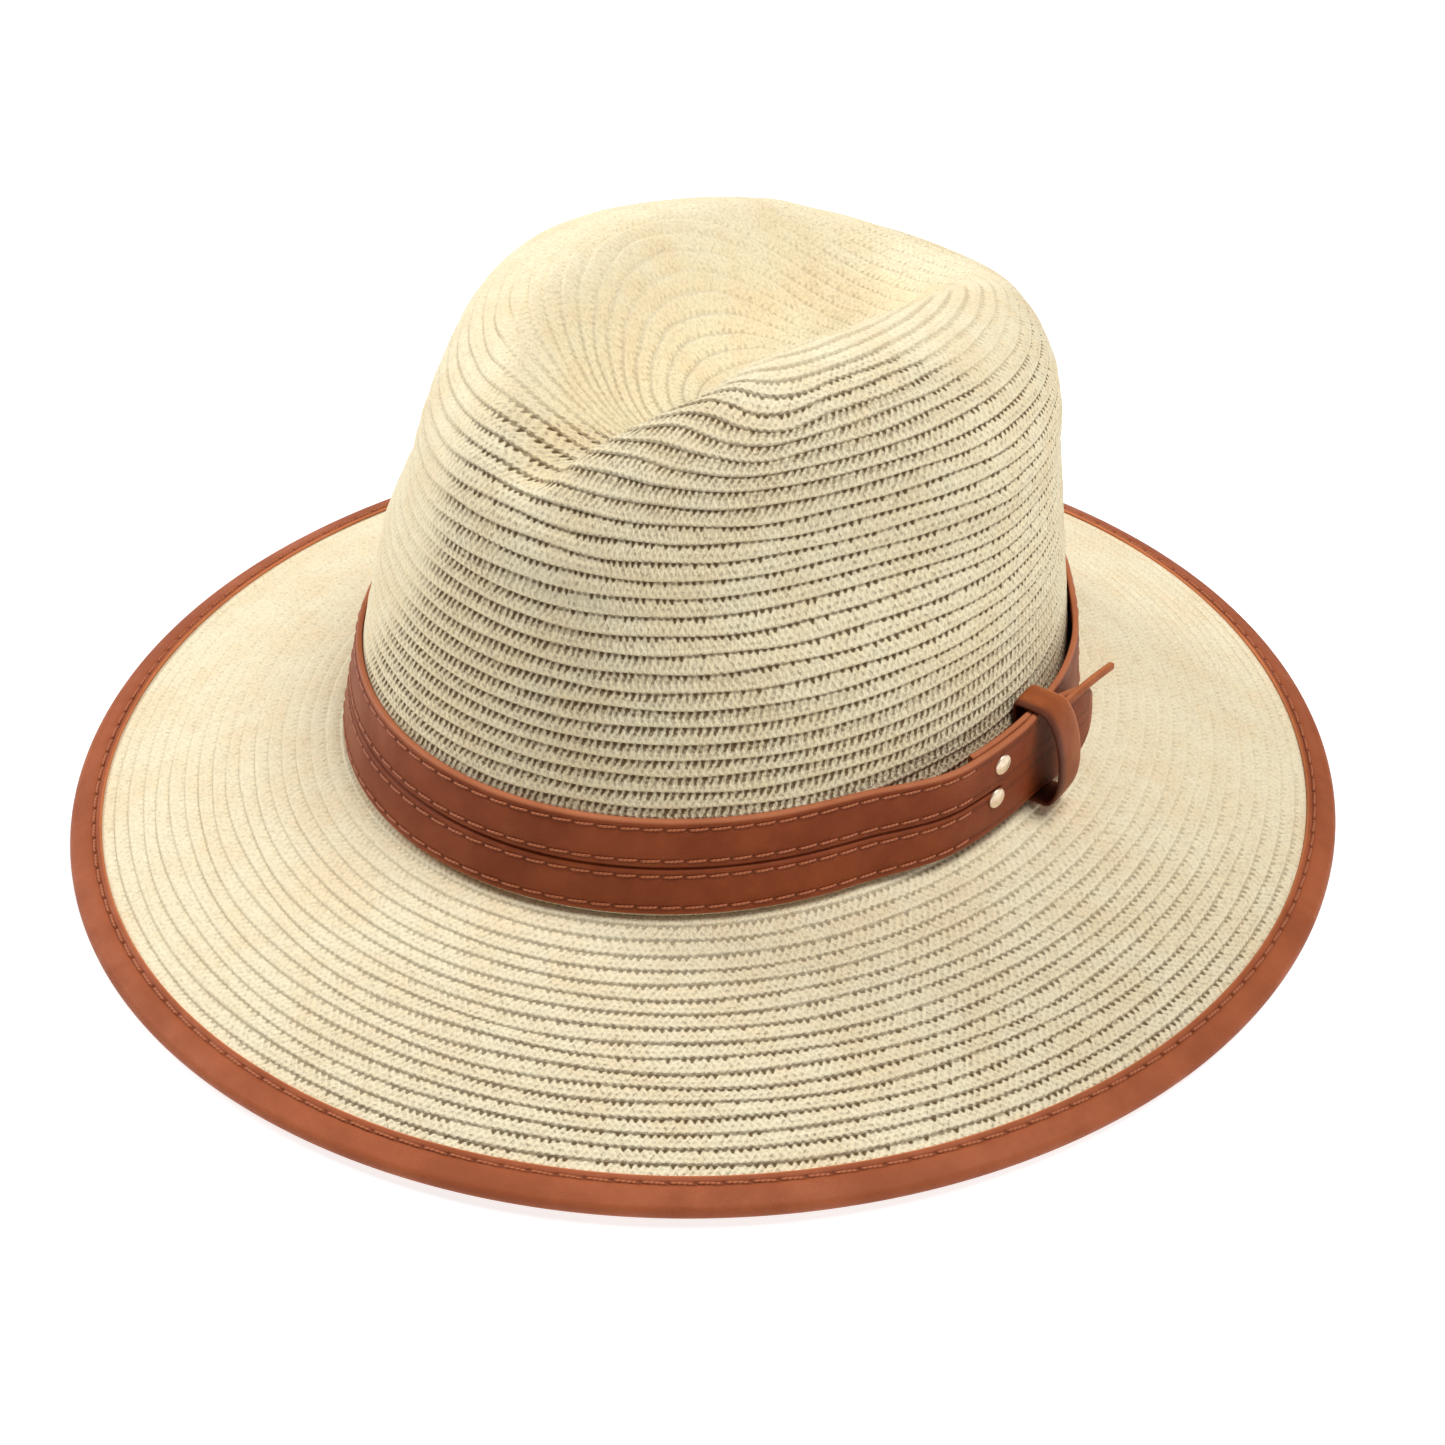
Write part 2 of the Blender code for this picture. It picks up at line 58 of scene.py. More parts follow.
# ---- driving sizes ----
# In mm, with heights from the headline: the part's own, but for TAIL_OUT, which is 0.3 less.
LONG = 17.5  # how much longer the oval's half length is than its half width
HEAD_R = 84.5  # half width outside at the headline
CROWN_H, CROWN_CORNER, CROWN_TAPER, CORNER_POWER = 115.3, 42.0, 10.7, 2.25
BRAID_THICK = 1.8
FRONT_LEAN, BACK_DROP, FRONT_DROP = 10.0, 8.0, 4.5
DENT_DEPTH, DENT_HALF_WIDTH, DENT_CLOSE, NOTCH_PULL = 29.0, 38.0, 0.8, 18.0
PINCH_DEPTH, PINCH_Y, PINCH_Z, PINCH_LONG, PINCH_TALL = 6.0, -44.0, 83.0, 58.0, 34.0
LEFT_PINCH, LEFT_PINCH_Y, LEFT_PINCH_Z, LEFT_PINCH_LONG, LEFT_PINCH_TALL = 3.0, -45.0, 74.0, 60.0, 38.0
DENT_FRONT_LESS, RIDGE_IN, RIDGE_IN_Y, RIDGE_IN_LONG = 0.36, 9.0, -37.0, 45.0
BRIM_W, BRIM_SLOPE, BRIM_THICK = 70.0, 0.37, 2.0
NARROW_FRONT, NARROW_BACK, NARROW_RIGHT = 4.6, 2.0, 2.2
LIFT_EDGE, LIFT_DEGREES, LIFT_HALF_DEGREES = 2.6, 312.0, 80.0
SHAPED_FROM, SHAPED_OVER = 12.0, 50.0
EDGE_SPAN, BIND_IN_R, BIND_THICK, BIND_W = 1.3, 1.35, 0.8, 6.8
BAND_H, BAND_Z, BAND_THICK, BAND_OFF = 24.0, 1.6, 1.5, 0.4
INNER_END, OUTER_END = -8.0, 380.0
KNOT_LIFT_INNER, KNOT_LIFT_OUTER, TIP_SPRING = 2.1, 4.0, 4.5
SLIT_START, SLIT_DEEP = 30.0, 0.9
RIVETS = (("rivet_upper", -4.7, 20.1), ("rivet_lower", -6.2, 11.1))  # name, y, z
RIVET_R, RIVET_POST_R = 2.6, 1.0
KEEPER_Y0, KEEPER_Y1, KEEPER_BULGE = 9.7, 19.7, 13.8
KEEPER_T, KEEPER_BACK, KEEPER_SPARE = 0.95, 0.5, 0.45
TAIL_L, TAIL_W, TAIL_T, TAIL_OUT, TAIL_UP = 20.0, 2.2, 1.6, 3.3, 1.4
SWEAT_H, SWEAT_Z, SWEAT_THICK = 28.0, -1.6, 1.0
EDGE_R = HEAD_R + BRIM_W

GAP = 0.3  # the least room between pieces

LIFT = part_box("crown")[0].z - GAP * MM  # height of the headline
SHIFT_X, SHIFT_Y = -NARROW_RIGHT / 2 * MM, (NARROW_BACK - NARROW_FRONT) / 2 * MM  # its middle

# ---- braid, seams and the other fine sizes, in mm ----
ROW = 4.0  # width of one row of braid
TICK = 1.92  # pitch of the little holes along a row
LIP, UNDER_LIP = 0.55, 0.5  # how far a row's edge stands over the next row, outside and inside
# (place across a row, share of LIP): the row's lip first, then its tucked edge
LIP_SHAPE = ((0.0, 0.0), (0.05, 0.85), (0.2, 1.0), (0.6, 0.68), (0.95, 0.0))
UNDER_SHAPE = ((0.0, 0.2), (0.1, 0.6))  # the same for UNDER_LIP
ROW_WANDER, LIP_WANDER = 0.22, 0.18  # how far rows stray, and by what share their lips vary
THINNER = 0.3  # how much thinner the shell under the rows is than the part's
CROWN_COLUMNS, BRIM_COLUMNS, SWEAT_COLUMNS = 336, 460, 420  # points round each row or edge
CROWN_SEED, BRIM_SEED, BINDING_SEED, SWEAT_SEED = 11, 23, 31, 47

# The pressing of the front drew the crown's rows up: by ROW_RISE, and by FRONT_RISE more at
# RISE_DEGREES, over RISE_HALF radians to each side, between the lengths RISE_FROM and RISE_TO
# from the foot, and less from RISE_BACK on.
ROW_RISE, FRONT_RISE, RISE_DEGREES, RISE_HALF = 2.0, 4.6, 275, 0.96
RISE_FROM, RISE_TO, RISE_BACK = 48, 112, 124
# The rows beside the notch wave: (degrees round the crown at WAVE_S, degrees more for each mm
# further up, half width in degrees, height).
ROW_WAVES = ((295.0, 0.875, 11.0, 2.3), (317.0, 0.43, 13.0, -1.9))
WAVE_S = 108.0

BAND_PITCH, BIND_PITCH, SWEAT_PITCH = 5.3, 6.1, 4.0  # stitch pitches
BAND_SEAM_IN, BIND_SEAM_IN, SWEAT_SEAM_UP = 2.0, 1.9, 3.0  # seams from their edges
STITCH_R, BAND_STITCH_R, SWEAT_STITCH_R = 0.34, 0.3, 0.28
STITCH_RINGS, STITCH_SIDES = 9, 8
STITCH_BOW, STITCH_SUNK, STITCH_SLANT = 0.30, 0.22, 0.13  # rise, depth of its ends, and aslant
NEEDLE_DENT, BINDING_SEAM_V = 0.22, 1.98  # how deep a stitch draws the binding in, and its level
BINDING_STEPS = 6.0  # points along each stitch of the binding

VISIBLE_SLIT_END = 357.4  # degrees
STITCH_FROM, STITCH_TO = 33.0, 354.0  # degrees: the sewn part of the strap
TIP_DEGREES, TIP_R, TIP_MOST = 12, 9.0, 8.6  # the strap's round end: length, inset, most inset
KNOT_LEAN = 0.11  # how far both layers tip outwards at the knot, per mm of height
RIVET_TURN = math.radians(7)  # how far the rivets face forwards
RIVET_SIDES, LOOP_STEPS, TAIL_SIDES = 40, 120, 20
TAU = 2 * math.pi


def smooth(x, a, b):
    t = np.clip((x - a) / (b - a), 0.0, 1.0)
    return t * t * (3 - 2 * t)


def bell(x):
    x = np.clip(np.abs(x), 0.0, 1.0)
    return (1 - x * x) ** 2


def unit(v):
    return v / np.maximum(np.linalg.norm(v, axis=-1, keepdims=True), 1e-9)


def oval(r, angle, z):
    """Points of the oval of half width r, leaning back in the crown and shaped in the brim."""
    r, angle, z = np.broadcast_arrays(r, angle, z)
    h = np.maximum(z, 0.0) / CROWN_H
    lean = FRONT_LEAN * h * h * np.maximum(-np.sin(angle), 0.0)
    share = np.clip((r - HEAD_R - SHAPED_FROM) / SHAPED_OVER, 0.0, 1.0)
    narrow_x = NARROW_RIGHT * np.maximum(-np.cos(angle), 0.0)
    narrow_y = NARROW_FRONT * np.maximum(-np.sin(angle), 0.0)
    narrow_y = narrow_y - NARROW_BACK * np.maximum(np.sin(angle), 0.0)
    from_lift = (np.degrees(angle) - LIFT_DEGREES + 180) % 360 - 180
    raised = LIFT_EDGE * bell(from_lift / LIFT_HALF_DEGREES)
    x, y = r * np.cos(angle), (r + LONG) * np.sin(angle) + lean
    return np.stack([x + share * narrow_x, y + share * narrow_y, z + share * raised], -1)


def wall_r(z):
    return HEAD_R - CROWN_TAPER * z / (CROWN_H - CROWN_CORNER)


def brim_z(r):
    return -BRIM_SLOPE * (np.maximum(r, HEAD_R) - HEAD_R)


def blocked(r, angle, z):
    """The plain dome pressed into the fedora shape: lean, dent, notch, pinches."""
    h = z / CROWN_H
    x, y, z = np.moveaxis(oval(r, angle, z), -1, 0)
    z = z - h**3 * (BACK_DROP * smooth(y, -10, 75) + FRONT_DROP * smooth(-y, 10, 70))
    half = DENT_HALF_WIDTH * (1 - DENT_CLOSE * smooth(-y, 36, 86))
    half = half - RIDGE_IN * bell((y - RIDGE_IN_Y) / RIDGE_IN_LONG) * smooth(x, 0, 10)
    across = 1 - smooth(np.abs(x) / half, 0.05, 1.0)
    along = (1 - 0.7 * smooth(y, 30, 85)) * (1 - DENT_FRONT_LESS * smooth(-y, 25, 75))
    gate = smooth(h, 0.80, 1.02)
    z = z - DENT_DEPTH * across * along * gate
    y = y + NOTCH_PULL * across * gate * smooth(-y, 20, 70)
    pinch = bell((y - PINCH_Y) / PINCH_LONG) * bell((z - PINCH_Z) / PINCH_TALL)
    x = x - np.sign(x) * PINCH_DEPTH * pinch * smooth(np.abs(x), 12, 40)
    more = bell((y - LEFT_PINCH_Y) / LEFT_PINCH_LONG) * bell((z - LEFT_PINCH_Z) / LEFT_PINCH_TALL)
    x = x - LEFT_PINCH * more * smooth(x, 5, 40)
    return np.stack([x, y, z], -1)


def dome_line():
    """(length, r, z) from the centre of the tip down to the headline."""
    flat_r = HEAD_R - CROWN_TAPER - CROWN_CORNER
    t = np.linspace(0, math.pi / 2, 200)
    power = 2 / CORNER_POWER
    flat = np.stack([np.linspace(0, flat_r, 60, endpoint=False), np.full(60, CROWN_H)], -1)
    arc_r = flat_r + CROWN_CORNER * np.sin(t) ** power
    arc_z = CROWN_H - CROWN_CORNER + CROWN_CORNER * np.clip(np.cos(t), 0, 1) ** power
    z = np.linspace(CROWN_H - CROWN_CORNER, 0.0, 80)[1:]
    line = np.concatenate([flat, np.stack([arc_r, arc_z], -1), np.stack([wall_r(z), z], -1)])
    steps = np.hypot(*np.diff(line, axis=0).T)
    return np.concatenate([[0.0], np.cumsum(steps)]), line[:, 0], line[:, 1]


# ---- mesh helpers ----


def world(points):
    return np.asarray(points, float) * MM + [SHIFT_X, SHIFT_Y, LIFT]


def piece(name, points, faces, material, body="hat", slot=None, replaces=(), uvs=None, wear=None):
    """A smooth mesh from points in mm above the headline and quads, with a uv for each corner
    and the wear of each point, which also carries painted highlights and painted shade."""
    mesh = bpy.data.meshes.new(name)
    points, faces = np.asarray(points, float).reshape(-1, 3), np.asarray(faces, np.int32)
    count, sides = faces.shape
    mesh.vertices.add(len(points))
    mesh.vertices.foreach_set("co", world(points).astype(np.float32).ravel())
    mesh.loops.add(count * sides)
    mesh.loops.foreach_set("vertex_index", faces.ravel())
    mesh.polygons.add(count)
    mesh.polygons.foreach_set("loop_start", np.arange(count, dtype=np.int32) * sides)
    mesh.polygons.foreach_set("loop_total", np.full(count, sides, np.int32))
    mesh.update(calc_edges=True)
    if uvs is not None:
        layer = mesh.uv_layers.new(name="wrap")
        layer.data.foreach_set("uv", np.asarray(uvs, np.float32).ravel())
    if wear is not None:
        values = mesh.attributes.new("wear", "FLOAT", "POINT")
        values.data.foreach_set("value", np.asarray(wear, np.float32).ravel())
    mesh.polygons.foreach_set("use_smooth", np.ones(count, bool))
    mesh.validate()
    mesh.materials.append(material)
    obj = bpy.data.objects.new(name, mesh)
    bpy.context.scene.collection.objects.link(obj)
    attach(obj, body)
    if replaces:
        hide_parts(*replaces)
    return obj


def grid_faces(rows, columns, wrap_rows=False, wrap_columns=True):
    """Quads of a grid of points; with wrapping, the last row or column joins the first."""
    i, j = np.meshgrid(np.arange(rows if wrap_rows else rows - 1),
                       np.arange(columns if wrap_columns else columns - 1), indexing="ij")
    i, j = i.ravel(), j.ravel()
    k, next_j = (i + 1) % rows * columns, (j + 1) % columns
    return np.stack([i * columns + j, i * columns + next_j, k + next_j, k + j], -1)


def corner_uvs(u, v):
    """UVs of the quads' corners, from u at each column's two sides and v at each row's."""
    u0, u1, v0, v1 = np.broadcast_arrays(u[:, :-1], u[:, 1:], v[:-1, None], v[1:, None])
    corners = [np.stack(pair, -1) for pair in ((u0, v0), (u1, v0), (u1, v1), (u0, v1))]
    return np.stack(corners, 2).reshape(-1, 4, 2)


def surface_normals(at, s, angle):
    """Unit normals of the surface at(s, angle) by small steps; straight up at the tip."""
    along = at(s, angle + 0.004) - at(s, angle - 0.004)
    up = at(s + 0.4, angle) - at(s - 0.4, angle)
    n = np.cross(along, up)
    weak = np.linalg.norm(n, axis=-1, keepdims=True) < 1e-3
    return unit(np.where(weak, [0.0, 0.0, 1.0], n))


def waver(row, angle, seed, terms=5):
    """Slow random wandering round the hat, different from row to row, about -1 to 1."""
    rng = np.random.default_rng(seed)
    total = 0.0
    for _ in range(terms):
        turns, drift, phase = rng.integers(2, 17), rng.uniform(1.0, 3.0), rng.uniform(0, TAU)
        total = total + np.cos(turns * angle + drift * row + phase)
    return total / terms**0.5


# ---- camera ----

FRAME_SIDE = 1445.0
SENSOR = 36.0
# angles in degrees, the distance from the middle of the headline in mm, the focal length in
# the frame's own units
CAM = {"azimuth": 36.2, "elevation": 34.87, "roll": 3.43, "distance": 757.0, "focal": 2958.0}
CAM_MIDDLE = (717.4, 679.9)  # where the middle of the headline shows in the frame


def make_camera():
    a, e, roll = (math.radians(CAM[k]) for k in ("azimuth", "elevation", "roll"))
    back = Vector((math.sin(a) * math.cos(e), -math.cos(a) * math.cos(e), math.sin(e)))
    right = Vector((math.cos(a), math.sin(a), 0))
    right = math.cos(roll) * right + math.sin(roll) * back.cross(right)
    up = back.cross(right)
    data = bpy.data.cameras.new("camera")
    data.sensor_width = SENSOR
    data.lens = SENSOR * CAM["focal"] / FRAME_SIDE
    data.shift_x = 0.5 - CAM_MIDDLE[0] / FRAME_SIDE
    data.shift_y = CAM_MIDDLE[1] / FRAME_SIDE - 0.5
    data.clip_start, data.clip_end = 0.01, 20.0
    cam = bpy.data.objects.new("camera", data)
    place = Vector((SHIFT_X, SHIFT_Y, LIFT)) + back * CAM["distance"] * MM
    columns = (right, up, back, place)
    cam.matrix_world = Matrix([[column[i] for column in columns] for i in range(3)] + [[0, 0, 0, 1]])
    bpy.context.scene.collection.objects.link(cam)
    bpy.context.scene.camera = cam


make_camera()

# ---- materials ----

# sizes of the straw's noises, in waves per metre
SWAY, GRIT, FINE, PATCH, YARN = 420.0, 1300.0, 520.0, 70.0, 900.0
STRAW_BUMP, LEATHER_BUMP = 0.00028, 0.00005  # heights of the finest relief, in metres


def colour(r, g, b):
    """A linear colour from display values of 0 to 255."""
    values = (c / 255 for c in (r, g, b))
    return (*(c / 12.92 if c <= 0.04045 else ((c + 0.055) / 1.055) ** 2.4 for c in values), 1.0)


class Nodes:
    """A material's nodes: each helper adds one node and returns what it puts out."""

    def __init__(self, name):
        self.material = bpy.data.materials.new(name)
        self.material.use_nodes = True
        self.tree = self.material.node_tree
        self.shader = self.tree.nodes["Principled BSDF"]

    def add(self, kind, inputs=None, **settings):
        node = self.tree.nodes.new(kind)
        for key, value in settings.items():
            setattr(node, key, value)
        for key, value in (inputs or {}).items():
            self.set(node.inputs[key], value)
        return node

    def set(self, socket, value):
        if isinstance(value, bpy.types.NodeSocket):
            self.tree.links.new(value, socket)
        else:
            socket.default_value = value

    def place(self):
        return self.add("ShaderNodeTexCoord").outputs["Object"]

    def wrap(self):
        """(u, v) of the piece's own UV map."""
        uv = self.add("ShaderNodeUVMap", uv_map="wrap").outputs[0]
        return self.add("ShaderNodeSeparateXYZ", {0: uv}).outputs[:2]

    def math(self, operation, *values):
        return self.add("ShaderNodeMath", dict(enumerate(values)), operation=operation).outputs[0]

    def step(self, value, low, high, to_low=0.0, to_high=1.0):
        inputs = dict(enumerate((value, low, high, to_low, to_high)))
        node = self.add("ShaderNodeMapRange", inputs, interpolation_type="SMOOTHSTEP")
        return node.outputs[0]

    def noise(self, vector, scale, detail=2.0, roughness=0.5):
        inputs = {"Vector": vector, "Scale": scale, "Detail": detail, "Roughness": roughness}
        return self.add("ShaderNodeTexNoise", inputs).outputs[0]

    def mix(self, factor, a, b):
        node = self.add("ShaderNodeMix", {0: factor}, data_type="RGBA")
        self.set(node.inputs[6], a)
        self.set(node.inputs[7], b)
        return node.outputs[2]

    def bump(self, height, distance, strength=1.0):
        inputs = {"Height": height, "Distance": distance, "Strength": strength}
        return self.add("ShaderNodeBump", inputs).outputs[0]

    def finish(self, base, roughness, normal, **more):
        named = {"Base Color": base, "Roughness": roughness, "Normal": normal}
        named.update({key.replace("_", " "): value for key, value in more.items()})
        for key, value in named.items():
            self.set(self.shader.inputs[key], value)
        return self.material


def braid_material(name, light, warm, dark, fade, hatch):
    """Paper braid: u counts the holes along a row and v the rows, from the row's lip.

    The dark marks are washed out on the lit side, a painted highlight, and grow across the hat
    away from it: fade holds that direction's x and y, where along it, in metres, they start and
    are full, and the row above which they are faint. The dark hatched bands, gaps darkened with
    painted shade, end where v plus x times hatch_x goes from hatch_from to hatch_to."""
    fade_x, fade_y, fade_from, fade_to, faint_row = fade
    hatch_from, hatch_to, hatch_x = hatch
    m = Nodes(name)
    place = m.place()
    u, v = m.wrap()
    u = m.math("ADD", u, m.math("MULTIPLY", m.noise(place, SWAY), 0.5))
    t = m.math("FRACT", v)
    cell = m.add("ShaderNodeCombineXYZ", {0: m.math("FLOOR", u), 1: m.math("FLOOR", v)})
    random = m.add("ShaderNodeTexWhiteNoise", {"Vector": cell.outputs[0]})
    chance = random.outputs[0]
    grit = m.noise(place, GRIT, 3.0, 0.65)
    fine = m.noise(place, FINE, 3.0, 0.7)
    patch = m.noise(place, PATCH, 3.0, 0.6)
    # painted shade: the dark line under each row's lip, where one row dips under the next, ragged as
    # it goes round the yarns
    off_hole = m.math("ABSOLUTE", m.math("SUBTRACT", m.math("FRACT", u), 0.5))
    ragged = m.math("ADD", m.math("MULTIPLY", grit, 0.14), m.math("MULTIPLY", off_hole, -0.16))
    line = m.step(m.math("ADD", t, ragged), 0.93, 1.01)
    line = m.math("MAXIMUM", line, m.step(m.math("SUBTRACT", t, ragged), 0.0, 0.07, 1.0, 0.0))
    line = m.math("MULTIPLY", line, m.step(fine, 0.36, 0.62, 0.5, 1.0))
    # the little holes along it, wider where they meet it
    reach = m.step(chance, 0.0, 1.0, 0.86, 0.68)
    below = m.math("SUBTRACT", m.math("ADD", t, m.math("MULTIPLY", grit, 0.1)), reach)
    below = m.step(below, 0.0, 0.12)
    width = m.step(t, 0.66, 1.0, 0.16, 0.46)
    hole = m.math("MULTIPLY", m.step(m.math("DIVIDE", off_hole, width), 0.35, 1.0, 1.0, 0.0), below)
    hole = m.math("MULTIPLY", hole, m.step(chance, 0.0, 0.45, 0.45, 1.0))
    # low on the crown's front, and under the ridge on the wearer's left, the rows stand apart
    # and show a dark hatched band between them: the gaps, darkened with painted shade, and under
    # the ridge a painted shadow band
    x, y, z = m.add("ShaderNodeSeparateXYZ", {0: place}).outputs[:3]
    apart = m.math("ADD", v, m.math("MULTIPLY", x, hatch_x))
    apart = m.step(apart, hatch_from, hatch_to, 1.0, 0.0)
    apart = m.math("MULTIPLY", apart, m.step(y, 0.0, 0.06, 1.0, 0.0))
    # painted shadow: the dark hatched band under the ridge, where the ridge shades the rows
    shadow_under_ridge = m.math("MULTIPLY", m.step(v, 21.5, 24.5, 0.0, 0.75),
                         m.step(v, 28.5, 30.5, 1.0, 0.0))
    shadow_under_ridge = m.math("MULTIPLY", shadow_under_ridge, m.step(x, -0.005, 0.015))
    shadow_under_ridge = m.math("MULTIPLY", shadow_under_ridge, m.step(z, 0.10, 0.105))
    shadow_under_ridge = m.math("MULTIPLY", shadow_under_ridge, m.step(y, -0.03, 0.01, 1.0, 0.0))
    apart = m.math("MAXIMUM", apart, shadow_under_ridge)
    stripe = m.math("ADD", u, m.math("MULTIPLY", grit, 0.6))
    stripe = m.math("ADD", stripe, m.math("MULTIPLY", t, -0.5))
    stripe = m.math("SINE", m.math("MULTIPLY", stripe, TAU))
    band = m.math("MULTIPLY", m.step(t, 0.40, 0.62), m.step(stripe, -0.3, 0.6, 0.15, 1.0))
    band = m.math("MULTIPLY", m.math("MULTIPLY", band, apart), m.step(fine, 0.30, 0.56, 0.35, 1.0))
    # the smaller pits along the middle of a row, between its two plaits
    off_pit = m.math("ABSOLUTE", m.math("SUBTRACT", m.math("FRACT", m.math("ADD", u, 0.5)), 0.5))
    middle = m.math("ABSOLUTE", m.math("SUBTRACT", t, m.step(chance, 0.0, 1.0, 0.32, 0.52)))
    pit = m.math("MULTIPLY", m.step(off_pit, 0.08, 0.36, 1.0, 0.0),
                 m.step(middle, 0.03, 0.16, 1.0, 0.0))
    pit = m.math("MULTIPLY", pit, m.step(fine, 0.42, 0.62, 0.0, 1.0))
    # yarns that cross on the slant, the higher one showing
    turn, slant = m.math("MULTIPLY", u, TAU), m.math("MULTIPLY", v, 1.5 * TAU)
    yarn = m.math("MAXIMUM", m.math("SINE", m.math("ADD", turn, slant)),
                  m.math("SINE", m.math("SUBTRACT", turn, slant)))
    yarn = m.math("ADD", yarn, m.math("MULTIPLY", m.noise(place, YARN, 2.0, 0.6), 1.8))
    low = m.step(yarn, 0.3, 1.1, 1.0, 0.0)
    # painted light: on the lit side, further round the higher up, and on the tip, the dark marks are
    # washed out as a painted highlight and their relief is lowered; the wearer's left front keeps
    # its marks 5.5 rows longer
    ahead = m.math("ADD", m.math("MULTIPLY", x, fade_x), m.math("MULTIPLY", y, fade_y))
    ahead = m.math("SUBTRACT", ahead, m.step(z, 0.045, 0.10, -0.028, 0.0))
    # clear is 0.15 where painted light washes the dark marks out, and 1 where they show in full
    clear = m.step(ahead, fade_from, fade_to, 0.15, 1.0)
    row = m.math("MULTIPLY", m.step(x, -0.02, 0.005, 0.0, 5.5), m.step(y, -0.012, 0.022, 1.0, 0.0))
    row = m.math("SUBTRACT", v, row)
    clear = m.math("MULTIPLY", clear, m.step(row, faint_row, faint_row + 3.5, 1.0, 0.22))
    tone = m.mix(m.step(patch, 0.35, 0.68), light, warm)
    tone = m.mix(m.step(grit, 0.42, 0.72, 0.0, 0.22), tone, dark)
    line = m.math("MULTIPLY", line, m.step(apart, 0.0, 1.0, 0.75, 0.5))
    shade = m.math("MAXIMUM", line, m.math("MULTIPLY", hole, 0.97))
    shade = m.math("MAXIMUM", shade, m.math("MULTIPLY", pit, 0.5))
    shade = m.math("MAXIMUM", shade, m.math("MULTIPLY", low, m.step(apart, 0.0, 1.0, 0.14, 0.3)))
    shade = m.math("MAXIMUM", shade, m.math("MULTIPLY", band, 0.95))
    tone = m.mix(m.math("MULTIPLY", shade, clear), tone, dark)
    height = m.math("SUBTRACT", m.math("MULTIPLY", yarn, 0.45), m.math("MULTIPLY", hole, 1.4))
    height = m.math("SUBTRACT", height, m.math("MULTIPLY", pit, 0.9))
    height = m.math("ADD", height, m.math("MULTIPLY", grit, 0.9))
    height = m.math("MULTIPLY", height, m.step(clear, 0.1, 1.0, 0.45, 1.0))
    return m.finish(tone, 0.82, m.bump(height, STRAW_BUMP))


def leather_material(name, light, dark, edge, rough, seam=None):
    """Smooth leather: fine grain and, at the seams, needle holes. Where the mesh's wear is over
    0 it is pale: rubbed cut edges, and a painted highlight on lit edges; under 0 it is dark
    painted shade.

    seam gives the distance in mm from the nearest seam, from the v of the UV map."""
    m = Nodes(name)
    place = m.place()
    cells = m.add("ShaderNodeTexVoronoi", {"Vector": place, "Scale": 1700.0},
                  feature="DISTANCE_TO_EDGE").outputs[0]
    fine = m.noise(place, 1500.0, 3.0, 0.6)
    broad = m.noise(place, 60.0, 4.0, 0.6)
    wear_and_painted_light_factor = m.add("ShaderNodeAttribute", attribute_name="wear").outputs["Fac"]
    tone = m.mix(m.step(broad, 0.35, 0.7), dark, light)
    tone = m.mix(m.step(cells, 0.0, 0.12, 0.2, 0.0), tone, dark)
    # pale where the wear is over 0: rubbed cut edges, and painted highlight on lit edges
    tone = m.mix(m.math("MULTIPLY", wear_and_painted_light_factor, m.step(broad, 0.2, 0.6, 0.65, 1.0)), tone, edge)
    # painted shade where the wear is under 0
    tone = m.mix(m.step(wear_and_painted_light_factor, -1.0, 0.0, 0.9, 0.0), tone, DEEP_LEATHER)
    height = m.math("ADD", m.step(cells, 0.0, 0.2), m.math("MULTIPLY", fine, 0.7))
    if seam:
        u, v = m.wrap()
        along = m.math("SUBTRACT", m.math("FRACT", m.math("ADD", u, 0.5)), 0.5)
        along = m.math("MULTIPLY", along, 5.5)  # a middling pitch, in mm
        away = seam(m, v)
        hole = m.math("ADD", m.math("MULTIPLY", along, along), m.math("MULTIPLY", away, away))
        hole = m.step(m.math("SQRT", hole), 0.3, 0.75, 1.0, 0.0)
        pressed = m.step(away, 0.2, 1.0, 0.3, 0.0)
        sunk = m.math("MAXIMUM", m.math("MULTIPLY", hole, 0.45), pressed)
        tone = m.mix(sunk, tone, DEEP_LEATHER)
        height = m.math("SUBTRACT", height, m.math("MULTIPLY", hole, 3.0))
    roughness = m.step(broad, 0.3, 0.75, rough + 0.08, rough - 0.06)
    return m.finish(tone, roughness, m.bump(height, LEATHER_BUMP, 0.8), Specular_IOR_Level=0.22)


def thread_material(name, light, dark):
    """Twisted thread: u runs along each stitch and v round it."""
    m = Nodes(name)
    u, v = m.wrap()
    twist = m.math("SINE", m.math("MULTIPLY", m.math("ADD", m.math("MULTIPLY", u, 5.0), v), TAU))
    tone = m.mix(m.step(twist, -0.7, 0.7), dark, light)
    return m.finish(tone, 0.55, m.bump(twist, 0.00006, 0.7), Sheen_Weight=0.15)


def metal_material(name, light, dull, metallic):
    m = Nodes(name)
    wear = m.noise(m.place(), 900.0, 3.0, 0.6)
    tone = m.mix(m.step(wear, 0.4, 0.7, 0.0, 0.3), light, dull)
    return m.finish(tone, m.step(wear, 0.3, 0.75, 0.25, 0.45), m.bump(wear, 0.00003, 0.5),
                    Metallic=metallic)


